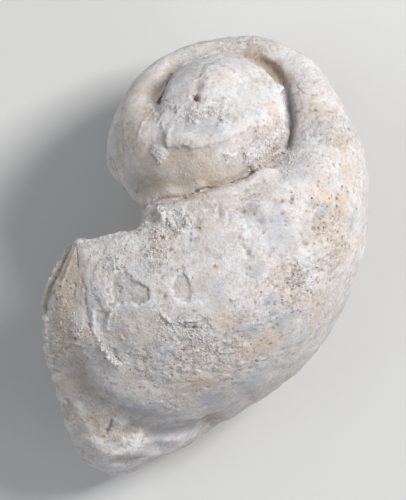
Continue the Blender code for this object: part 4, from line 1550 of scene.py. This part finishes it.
@dataclass
class WornStone:
    """The snail's stone: its fine surface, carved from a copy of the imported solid. Lengths are in millimetres.

    Attributes:
        name: Name of the piece.
        first_voxel: Width of the cells that even out the solid's flat faces.
        fine_voxel: Width of the cells of the carved surface.
        merging: How near each other the solid's loose corners lie that are merged, in metres.
        smoothing: How far each round of smoothing moves a point towards the middle of its neighbours.
        first_smoothing: How many rounds the whole stone gets.
        fine_smoothing: How many rounds the fine surface gets.
        coarse_triangles: How many triangles are left before the pits are pressed in.
        wall_start: At which place of the spire's edge the wall beside the channel starts.
        wall_keeps: How much of the smoothing the wall is spared.
        wall_reach: How far from the wall that fades out.
        valley_smoothing: How many rounds the mouth's valley gets.
        valley_reach: How far from the valley that fades out.
        valley_gain: How soon it is whole as the surface turns upwards.
        lip: The last turn's upper edge.
        overhangs: The nib on the spire's edge, and the corner below it.
        relief: How uneven the surface is.
        growth_lines: The faint lines on the spire.
        pressing: How pits and grooves are pressed in.
        hidden_pits: The pits on the hidden sides.
        staining: How stains spread.
        finish: What the stone is finished with.
        piece: The piece as it is so far.
        stone: The surface that lines of sight meet.
    """

    name: str = "worn_stone"
    first_voxel: float = 0.8
    fine_voxel: float = 0.33
    merging: float = 1e-6
    smoothing: float = 0.5
    first_smoothing: int = 14
    fine_smoothing: int = 3
    coarse_triangles: int = 150000
    wall_start: int = 6
    wall_keeps: float = 0.8
    wall_reach: float = 2.6
    valley_smoothing: int = 70
    valley_reach: float = 8.0
    valley_gain: float = 3.0
    lip: Lip = Lip()
    overhangs: tuple[Overhang, ...] = (
        Overhang(((14.7, 1.9), (14.7, 1.9)), 1.45, 1.5),
        Overhang(((15.8, -7.4), (15.0, -10.0)), 1.0, 2.2),
    )
    relief: Relief = Relief()
    growth_lines: GrowthLines = GrowthLines()
    pressing: Pressing = Pressing()
    hidden_pits: HiddenPits = HiddenPits()
    staining: Staining = Staining()
    finish: StoneFinish = StoneFinish()
    piece: bpy.types.Object | None = None
    stone: BVHTree | None = None

    def build(self) -> bpy.types.Object:
        """Models the piece.

        Returns:
            The finished piece.
        """
        self.copy_solid()
        self.apply("REMESH", mode="VOXEL", voxel_size=self.first_voxel * MM)
        self.soften()
        self.apply("REMESH", mode="VOXEL", voxel_size=self.fine_voxel * MM)
        self.apply("SMOOTH", factor=self.smoothing, iterations=self.fine_smoothing)
        self.close_seam()
        self.meet_outline()
        self.carve()
        self.thin_out()
        self.refine_marks()
        self.press_marks()
        self.stain()
        self.dress()
        self.look()
        return self.piece

    def copy_solid(self) -> None:
        """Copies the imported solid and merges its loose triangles."""
        bpy.ops.object.select_all(action="DESELECT")
        node = frame["nodes"][NODE]
        node.select_set(True)
        bpy.context.view_layer.objects.active = node
        bpy.ops.object.duplicate()
        self.piece = bpy.context.view_layer.objects.active
        self.piece.name = self.name
        self.piece.data.name = self.name
        self.piece.parent = None
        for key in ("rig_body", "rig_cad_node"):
            if key in self.piece:
                del self.piece[key]
        bpy.ops.object.mode_set(mode="EDIT")
        bpy.ops.mesh.select_all(action="SELECT")
        bpy.ops.mesh.remove_doubles(threshold=self.merging)
        bpy.ops.mesh.customdata_custom_splitnormals_clear()
        bpy.ops.mesh.faces_shade_smooth()
        bpy.ops.object.mode_set(mode="OBJECT")

    def apply(self, kind: str, **settings: object) -> None:
        """Adds a modifier to the piece and applies it.

        Args:
            kind: The kind of modifier.
            settings: Its settings by name.
        """
        modifier = self.piece.modifiers.new(kind.lower(), kind)
        for key, value in settings.items():
            setattr(modifier, key, value)
        bpy.ops.object.modifier_apply(modifier=modifier.name)

    def soften(self) -> None:
        """Smooths away the solid's flat faces, less at the wall beside the spire and more in the mouth's valley."""
        points = self.points()
        spots = SIGHT.seen(points)
        wall = distance_to_line(spots, np.array(curve(SPIRE_EDGE[self.wall_start:])))[0]
        even = 1 - self.wall_keeps * eased(wall / self.wall_reach)
        self.smooth("even", even, self.first_smoothing)
        valley = distance_to_line(spots, np.array(curve(VALLEY)))[0]
        deep = eased(valley / self.valley_reach) * upward(self.normals(), self.valley_gain)
        self.smooth("valley", deep, self.valley_smoothing)

    def smooth(self, name: str, shares: np.ndarray, rounds: int) -> None:
        """Smooths the piece, each point by a share of its own.

        Args:
            name: Name of the group that holds the shares.
            shares: One value for each point, from 0 to 1.
            rounds: How many rounds of smoothing it gets.
        """
        group = self.piece.vertex_groups.new(name=name)
        for index, share in enumerate(shares.tolist()):
            group.add([index], share, "REPLACE")
        self.apply("SMOOTH", factor=self.smoothing, iterations=rounds, vertex_group=name)

    def read(self, name: str) -> np.ndarray:
        """Reads three numbers of each of the mesh's points.

        Args:
            name: What to read, as Blender names it.

        Returns:
            The numbers, one row for each point.
        """
        flat = np.empty(len(self.piece.data.vertices) * 3, np.float32)
        self.piece.data.vertices.foreach_get(name, flat)
        return flat.reshape(-1, 3).astype(float)

    def points(self) -> np.ndarray:
        """The mesh's points in metres, one row each."""
        return self.read("co")

    def normals(self) -> np.ndarray:
        """The surface's direction at each point, one row each."""
        return self.read("normal")

    def move_to(self, points: np.ndarray) -> None:
        """Moves the mesh's points.

        Args:
            points: Their new places in metres, one row each.
        """
        self.piece.data.vertices.foreach_set("co", points.astype(np.float32).ravel())
        self.piece.data.update()

    def look(self) -> None:
        """Keeps the present surface, for lines of sight to meet."""
        mesh = self.piece.data
        faces = [face.vertices for face in mesh.polygons]
        self.stone = BVHTree.FromPolygons([vert.co for vert in mesh.vertices], faces)

    def line_share(
        self, points: np.ndarray, places: tuple[Place, ...], reach: float, ragged: np.ndarray
    ) -> np.ndarray:
        """How near each point is to a line on the stone.

        Args:
            points: Places in metres, one row each.
            places: Places on the line, as seen from the camera.
            reach: How far the line reaches to its sides, in millimetres.
            ragged: What each distance is multiplied by, to make the edges wander.

        Returns:
            1 on the line, easing to 0 at its edges.
        """
        line = SIGHT.on_stone(self.stone, curve(places) if len(places) > 1 else places)
        share = np.zeros(len(points))
        if len(line) == 0:
            return share
        margin = EDGE_MARGIN * reach * MM
        near_line = (points > line.min(axis=0) - margin) & (points < line.max(axis=0) + margin)
        close = np.flatnonzero(near_line.all(axis=1))
        if len(line) == 1:
            near = np.linalg.norm(points[close] - line[0], axis=1)
        else:
            near = distance_to_line(points[close], line)[0]
        share[close] = eased(near * ragged[close] / (reach * MM))
        return share

    def close_seam(self) -> None:
        """Draws the last turn's upper edge up to the seam, and the spire's edge out over the channel."""
        points = self.points()
        spots = SIGHT.seen(points)
        self.lip.draw_up(points, spots)
        for overhang in self.overhangs:
            overhang.draw_out(points, spots)
        self.move_to(points)

    def meet_outline(self) -> None:
        """Moves the stone's edges sideways to the photo's outline, which the smoothing draws them away from."""
        points = self.points()
        spots = SIGHT.seen(points)
        for edge in OUTLINE:
            edge.meet(points, spots)
        self.move_to(points)

    def carve(self) -> None:
        """Raises the crust, ridges and crumbs, and cuts the valleys."""
        self.look()
        relief = self.relief
        points = self.points()
        normals = self.normals()
        spots = SIGHT.seen(points)
        wander = relief.wander.at(points)
        up = upward(normals, relief.crust_gain)
        slope = np.clip(normals[:, 2] * relief.steep_gain, relief.steep_least, 1)
        loose = crumbs(points, relief.crumb.length)
        height = np.zeros(len(points))
        lift = np.zeros(len(points))
        for sheet in SHEETS:
            height += sheet.thickness * sheet.share(spots, wander) * up
        for track in BROAD:
            share = self.line_share(points, track.places, track.half_width, 1 + track.ragged * wander)
            broken = 1 + track.crumbly * (relief.crumb_gain * loose - 1)
            rise = track.rise * share * (1 + relief.ridge_ragged * track.ragged * wander) * broken
            if track.way is Way.UP:
                lift += rise * slope
            else:
                height += rise
        height += self.growth_lines.rise(spots, up)
        rough = self.rough_share(points, wander)
        hidden = turned_away(normals, relief.hidden_start, relief.hidden_gain)
        everywhere, in_rough, on_hidden = relief.wave_shares
        long_waves = relief.swell.rise(points) + relief.roll.rise(points)
        height += long_waves * (everywhere + in_rough * rough + on_hidden * hidden)
        height += rough * (relief.crumb.height * (loose - CRUMB_MIDDLE) + relief.ripple.rise(points))
        height += rough ** 2 * relief.lump.height * (crumbs(points, relief.lump.length) - CRUMB_MIDDLE)
        everywhere, in_rough = relief.grain_shares
        height += (everywhere + in_rough * rough) * relief.grain.height * waves(points, relief.grain.length)
        points += normals * height[:, None] * MM
        points[:, 2] = np.maximum(points[:, 2] + lift * MM, 0)
        self.move_to(points)

    def rough_share(self, points: np.ndarray, wander: np.ndarray) -> np.ndarray:
        """How rough the stone is at each point, from 0 to 1.

        Args:
            points: Places in metres, one row each.
            wander: Noise that makes the edges of the rough patches wander.

        Returns:
            One value for each point.
        """
        relief = self.relief
        low = np.clip((relief.low_top * MM - points[:, 2]) / (relief.low_fade * MM), 0, 1)
        share = relief.least_rough + relief.low_rough * low
        for patch in PATCHES:
            if patch.stain is Stain.ROUGH:
                near = self.line_share(points, (patch.place,), patch.radius, 1 + relief.patch_ragged * wander)
                share = np.maximum(share, patch.strength * np.clip(near * relief.patch_core, 0, 1))
        return share

    def thin_out(self) -> None:
        """Brings the number of triangles down, which keeps the most where the surface bends."""
        triangles = sum(len(face.vertices) - 2 for face in self.piece.data.polygons)
        self.apply("DECIMATE", ratio=self.coarse_triangles / triangles)

    def refine_marks(self) -> None:
        """Divides the faces round the pits and the sharp grooves, so that they come out crisp."""
        self.look()
        points = self.points()
        even = np.ones(len(points))
        marked = np.zeros(len(points), bool)
        for pit in PITS:
            marked |= self.line_share(points, (pit.place,), pit.radius + self.pressing.pit_margin, even) > 0
        for track in FINE:
            reach = track.half_width + self.pressing.groove_margin
            marked |= self.line_share(points, track.places, reach, even) > 0
        bpy.ops.object.mode_set(mode="EDIT")
        bpy.ops.mesh.select_mode(type="VERT")
        bpy.ops.mesh.select_all(action="DESELECT")
        bpy.ops.object.mode_set(mode="OBJECT")
        self.piece.data.vertices.foreach_set("select", marked)
        bpy.ops.object.mode_set(mode="EDIT")
        bpy.ops.mesh.subdivide(number_cuts=1)
        bpy.ops.mesh.select_all(action="SELECT")
        bpy.ops.mesh.quads_convert_to_tris()
        bpy.ops.object.mode_set(mode="OBJECT")

    def press_marks(self) -> None:
        """Presses in the pits and the sharp grooves."""
        self.look()
        points = self.points()
        normals = self.normals()
        wander = waves(points, self.pressing.wander_length)
        pit_edge = 1 + self.pressing.pit_ragged * wander
        push = np.zeros_like(points)
        for track in FINE:
            share = self.line_share(points, track.places, track.half_width, 1 + track.ragged * wander)
            way = normals if track.way is Way.OUT else np.array((0.0, 0.0, 1.0))
            push += way * (track.rise * share)[:, None]
        for pit in PITS:
            share = self.line_share(points, (pit.place,), pit.radius, pit_edge)
            push -= normals * (pit.radius * share)[:, None]
        for index, radius in self.place_hidden_pits(points, normals):
            near = np.linalg.norm(points - points[index], axis=1) / (radius * MM)
            push -= normals * (self.hidden_pits.depth * radius * eased(near * pit_edge))[:, None]
        self.move_to(points + push * MM)

    def place_hidden_pits(self, points: np.ndarray, normals: np.ndarray) -> list[tuple[int, float]]:
        """Chooses places for the pits on the hidden sides.

        Args:
            points: Places in metres, one row each.
            normals: The surface's direction at each point.

        Returns:
            The point at the middle of each pit, and its radius in millimetres.
        """
        pits = self.hidden_pits
        dice = Random(pits.seed)
        hidden = np.flatnonzero((normals[:, 2] < pits.most_up) & (points[:, 2] > pits.lowest * MM)).tolist()
        return [(dice.choice(hidden), dice.uniform(*pits.radii)) for _ in range(pits.count)]

    def stain(self) -> None:
        """Gives every point its share of each stain, and how hollow the surface is there."""
        style = self.staining
        points = self.points()
        wander = style.wander.at(points)
        ragged = 1 + style.ragged * wander
        lining_edge = 1 + style.lining_ragged * wander
        shares = {stain: np.zeros(len(points)) for stain in Stain}

        def lay(stain: Stain, share: np.ndarray) -> None:
            """Lays a stain where it is stronger than what lies there."""
            shares[stain] = np.maximum(shares[stain], share)

        for patch in PATCHES:
            near = self.line_share(points, (patch.place,), patch.radius * style.spread, ragged)
            lay(patch.stain, patch.strength * np.clip(near * style.core, 0, 1))
        for streak in STREAKS:
            near = self.line_share(points, streak.places, streak.half_width * style.spread, ragged)
            lay(streak.stain, streak.strength * near)
        for pit in PITS:
            near = self.line_share(points, (pit.place,), pit.radius * style.lining_spread, lining_edge)
            lay(Stain.DIRT_AND_SHADE, np.clip(near * style.core, 0, 1))
            halo = self.line_share(points, (pit.place,), pit.radius + style.halo_width, ragged)
            lay(Stain.TAN, style.halo_strength * halo)
        hidden = turned_away(self.normals(), style.hidden_start, style.hidden_gain)
        for count, (stain, strength) in enumerate(style.hidden):
            cloud = waves(points + count * style.cloud_apart * MM, style.cloud_length) + style.cloud_ragged * wander
            lay(stain, hidden * strength * np.clip(cloud * style.cloud_gain, 0, 1))
        shares[Stain.ROUGH] = self.rough_share(points, wander)
        for stain, share in shares.items():
            self.write(stain.value, share)
        self.write(HOLLOW_SHADING, self.hollow_share(points))

    def hollow_share(self, points: np.ndarray) -> np.ndarray:
        """How hollow the surface is at each point, against smoothed copies of it.

        Args:
            points: Places in metres, one row each.

        Returns:
            Above 0 in a hollow, and below 0 on a ridge.
        """
        mesh = self.piece.data
        ends = np.empty(len(mesh.edges) * 2, np.int32)
        mesh.edges.foreach_get("vertices", ends)
        first, second = ends.reshape(-1, 2).T
        count = np.bincount(np.concatenate([first, second]), minlength=len(points))[:, None]
        normals = self.normals()
        depths = dict(self.staining.hollow_scales)
        most = self.staining.hollow_most
        hollow = np.zeros(len(points))
        smooth = points
        for step in range(1, max(depths) + 1):
            total = np.column_stack([
                np.bincount(first, column[second], len(points)) + np.bincount(second, column[first], len(points))
                for column in smooth.T
            ])
            smooth = (smooth + total / np.maximum(count, 1)) / 2
            if step in depths:
                hollow += ((smooth - points) * normals).sum(axis=1) / (depths[step] * MM)
        return np.clip(hollow, -most, most)

    def write(self, name: str, values: np.ndarray) -> None:
        """Stores one value for each point under a name that the finish reads.

        Args:
            name: Name of the attribute.
            values: One value for each point.
        """
        attribute = self.piece.data.attributes.new(name, "FLOAT", "POINT")
        attribute.data.foreach_set("value", values.astype(np.float32))

    def dress(self) -> None:
        """Gives the piece its finish and smooth shading."""
        self.piece.data.materials.clear()
        self.piece.data.materials.append(self.finish.material())
        self.piece.data.shade_smooth()


@dataclass(frozen=True)
class Spill:
    """A place where sand grains stick to the stone.

    Attributes:
        places: Places on the line that they lie along.
        spread: How far they lie from it, in millimetres.
        count: How many there are.
        size: How large they are, against other grains.
    """

    places: tuple[Place, ...]
    spread: float
    count: int
    size: float = 1.0


@dataclass
class SandGrains:
    """Sand grains stuck to the stone, each half sunk in it. Lengths are in millimetres.

    Attributes:
        stone: The stone that they stick to.
        name: Name of the piece.
        smallest: Radius of the smallest grain.
        largest: Radius of the largest grain.
        sunk: How deep a grain's middle lies, as a share of its radius.
        stretch: How far a grain is squeezed or stretched at most.
        full_turn: The largest angle that a grain is turned by, in radians.
        seed: What starts the random numbers.
        spills: Where they lie.
    """

    stone: WornStone
    name: str = "sand_grains"
    smallest: float = 0.14
    largest: float = 0.36
    sunk: float = 0.25
    stretch: Span = (0.75, 1.25)
    full_turn: float = 6.28
    seed: int = 7
    spills: tuple[Spill, ...] = (
        Spill(((14.8, -4.4), (15.8, -7.4), (15.4, -10.0), (13.6, -12.0), (11.0, -13.4)), 1.2, 260),
        Spill(((11.6, -6.6), (13.4, -8.6), (12.6, -11.0)), 1.6, 150),
        Spill(((16.4, -11.0), (17.8, -12.4), (16.6, -14.4)), 1.2, 110, 1.2),
        Spill(((10.4, -14.4), (12.4, -13.2), (14.6, -11.6)), 0.8, 70, 1.2),
        Spill(((-6.4, -1.6), (-2.6, -3.6), (1.6, -2.6), (4.4, -4.8)), 1.4, 110),
        Spill(((-2.0, -25.0), (-6.6, -26.0), (-9.6, -29.6), (-7.6, -31.6)), 2.0, 170, 1.2),
        Spill(((-10.6, -23.4), (-7.0, -22.4), (-3.0, -22.4), (0.6, -20.6)), 1.3, 80),
        Spill(((-11.6, -25.6), (-15.0, -28.6), (-17.0, -33.0)), 2.4, 80),
        Spill(((-5.0, -16.6), (1.0, -16.2), (6.4, -14.8)), 1.8, 60, 0.6),
        Spill(((-9.6, -44.6), (-2.6, -47.0), (2.4, -50.0)), 2.2, 140),
        Spill(((-27.0, -42.0), (-26.4, -46.0), (-27.4, -51.0)), 3.4, 150, 0.8),
        Spill(((-20.6, -49.0), (-18.6, -51.6), (-16.8, -53.6)), 0.8, 60, 1.1),
        Spill(((-9.2, -10.4), (-8.4, -12.8)), 1.0, 50, 1.1),
        Spill(((4.8, -11.8), (6.4, -12.0)), 0.9, 30),
        Spill(((8.8, -11.4), (11.4, -12.8)), 1.4, 90, 1.1),
    )

    def build(self) -> bpy.types.Object:
        """Models one grain, and copies it to its places.

        Returns:
            The finished piece.
        """
        dice = Random(self.seed)
        first = self.model_grain()
        grains = [
            self.copy_grain(first, hit, way, spill.size, dice)
            for spill in self.spills
            for hit, way in self.landings(spill, dice)
        ]
        bpy.data.objects.remove(first)
        bpy.ops.object.select_all(action="DESELECT")
        for grain in grains:
            grain.select_set(True)
        bpy.context.view_layer.objects.active = grains[0]
        bpy.ops.object.join()
        bpy.ops.object.transform_apply(location=True, rotation=True, scale=True)
        piece = bpy.context.view_layer.objects.active
        piece.name = self.name
        piece.data.name = self.name
        piece.data.materials.clear()
        piece.data.materials.append(self.stone.piece.data.materials[0])
        return piece

    def model_grain(self) -> bpy.types.Object:
        """Models the grain that the others are copied from.

        Returns:
            The grain, 1 mm in radius.
        """
        bpy.ops.object.select_all(action="DESELECT")
        bpy.ops.mesh.primitive_ico_sphere_add(subdivisions=1, radius=MM)
        return bpy.context.object

    def landings(self, spill: Spill, dice: Random) -> list[tuple[Vector, Vector]]:
        """Drops grains over a place.

        Args:
            spill: The place.
            dice: What gives the random numbers.

        Returns:
            Where each grain lands on the stone, and the surface's direction there.
        """
        line = curve(spill.places)
        found = []
        for _ in range(spill.count):
            x, y = dice.choice(line)
            x += dice.gauss(0, spill.spread / 2)
            y += dice.gauss(0, spill.spread / 2)
            hit, way = SIGHT.cast(self.stone.stone, x, y)
            if hit is not None:
                found.append((hit, way))
        return found

    def copy_grain(
        self, first: bpy.types.Object, hit: Vector, way: Vector, size: float, dice: Random
    ) -> bpy.types.Object:
        """Copies the grain to a place on the stone, turned and stretched at random.

        Args:
            first: The grain to copy.
            hit: The place.
            way: The surface's direction there.
            size: How large it is, against other grains.
            dice: What gives the random numbers.

        Returns:
            The copy.
        """
        grain = first.copy()
        grain.data = first.data.copy()
        bpy.context.collection.objects.link(grain)
        radius = size * dice.triangular(self.smallest, self.largest, self.smallest)
        grain.scale = [radius * dice.uniform(*self.stretch) for _ in range(3)]
        grain.rotation_euler = [dice.uniform(0, self.full_turn) for _ in range(3)]
        grain.location = hit - way * radius * self.sunk * MM
        return grain


@dataclass(frozen=True)
class Lamp:
    """A soft lamp.

    Attributes:
        name: Its name.
        place: Where it stands, in metres.
        width: Width of its square face in metres.
        power: Its power in watts.
        colour: Its colour.
        aim: What it is turned towards, in metres: the middle of the stone.
    """

    name: str
    place: tuple[float, float, float]
    width: float
    power: float
    colour: Colour
    aim: tuple[float, float, float] = (0.0, 0.0, 0.03)

    def light(self) -> None:
        """Adds the lamp, turned towards the stone."""
        bpy.ops.object.light_add(type="AREA", location=self.place)
        lamp = bpy.context.object
        lamp.name = self.name
        lamp.data.name = self.name
        lamp.data.size = self.width
        lamp.data.energy = self.power
        lamp.data.color = self.colour
        way = Vector(self.aim) - Vector(self.place)
        lamp.rotation_euler = way.to_track_quat("-Z", "Y").to_euler()


@dataclass(frozen=True)
class Studio:
    """The floor, the lamps and the camera.

    Attributes:
        floor_width: Width of the floor in metres.
        lens: The camera's focal length in millimetres.
        sensor: Width of its sensor in millimetres.
        sky: Colour of the even light.
        sky_strength: How strong the even light is.
        lamps: The soft lamps.
        finish: What the floor is finished with.
    """

    floor_width: float = 6.0
    lens: float = 432.0
    sensor: float = 36.0
    sky: Colour = (0.9, 0.95, 1.0)
    sky_strength: float = 0.275
    lamps: tuple[Lamp, ...] = (
        Lamp("key_lamp", (0.59, 0.34, 0.78), 0.32, 10.1, (1.0, 0.985, 0.96)),
        Lamp("fill_lamp", (-0.6, 0.12, 0.8), 0.8, 2.2, (0.95, 0.97, 1.0)),
        Lamp("low_lamp", (0.64, -0.40, 0.34), 0.4, 0.95, (0.98, 0.97, 1.0)),
    )
    finish: FloorFinish = FloorFinish()

    def build(self) -> None:
        """Sets the stage."""
        self.lay_floor()
        for lamp in self.lamps:
            lamp.light()
        self.set_sky()
        self.place_camera()

    def lay_floor(self) -> None:
        """Lays the floor just under the stone."""
        bpy.ops.mesh.primitive_plane_add(size=self.floor_width, location=(0, 0, 0))
        floor = bpy.context.object
        floor.name = "floor"
        floor.data.materials.append(self.finish.material())

    def set_sky(self) -> None:
        """Gives the room an even pale light."""
        world = bpy.data.worlds.new("studio")
        world.use_nodes = True
        sky = world.node_tree.nodes["Background"]
        sky.inputs["Color"].default_value = (*self.sky, 1.0)
        sky.inputs["Strength"].default_value = self.sky_strength
        bpy.context.scene.world = world
        bpy.context.scene.view_settings.view_transform = "Standard"

    def place_camera(self) -> None:
        """Sets the camera straight above, looking down."""
        bpy.ops.object.camera_add(location=Vector(SIGHT.eye) * MM, rotation=(0, 0, 0))
        camera = bpy.context.object
        camera.name = "camera"
        camera.data.sensor_width = self.sensor
        camera.data.lens = self.lens
        bpy.context.scene.camera = camera


def main() -> None:
    """Builds the stone and the studio."""
    logging.basicConfig(level=logging.INFO, format="%(message)s")
    stone = WornStone()
    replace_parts(stone.build(), NODE)
    for piece in (stone.piece, SandGrains(stone).build()):
        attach(piece, "root")
        LOG.info("%s has %d faces", piece.name, len(piece.data.polygons))
    Studio().build()
    LOG.info("the studio is set")


if __name__ == "__main__":
    main()
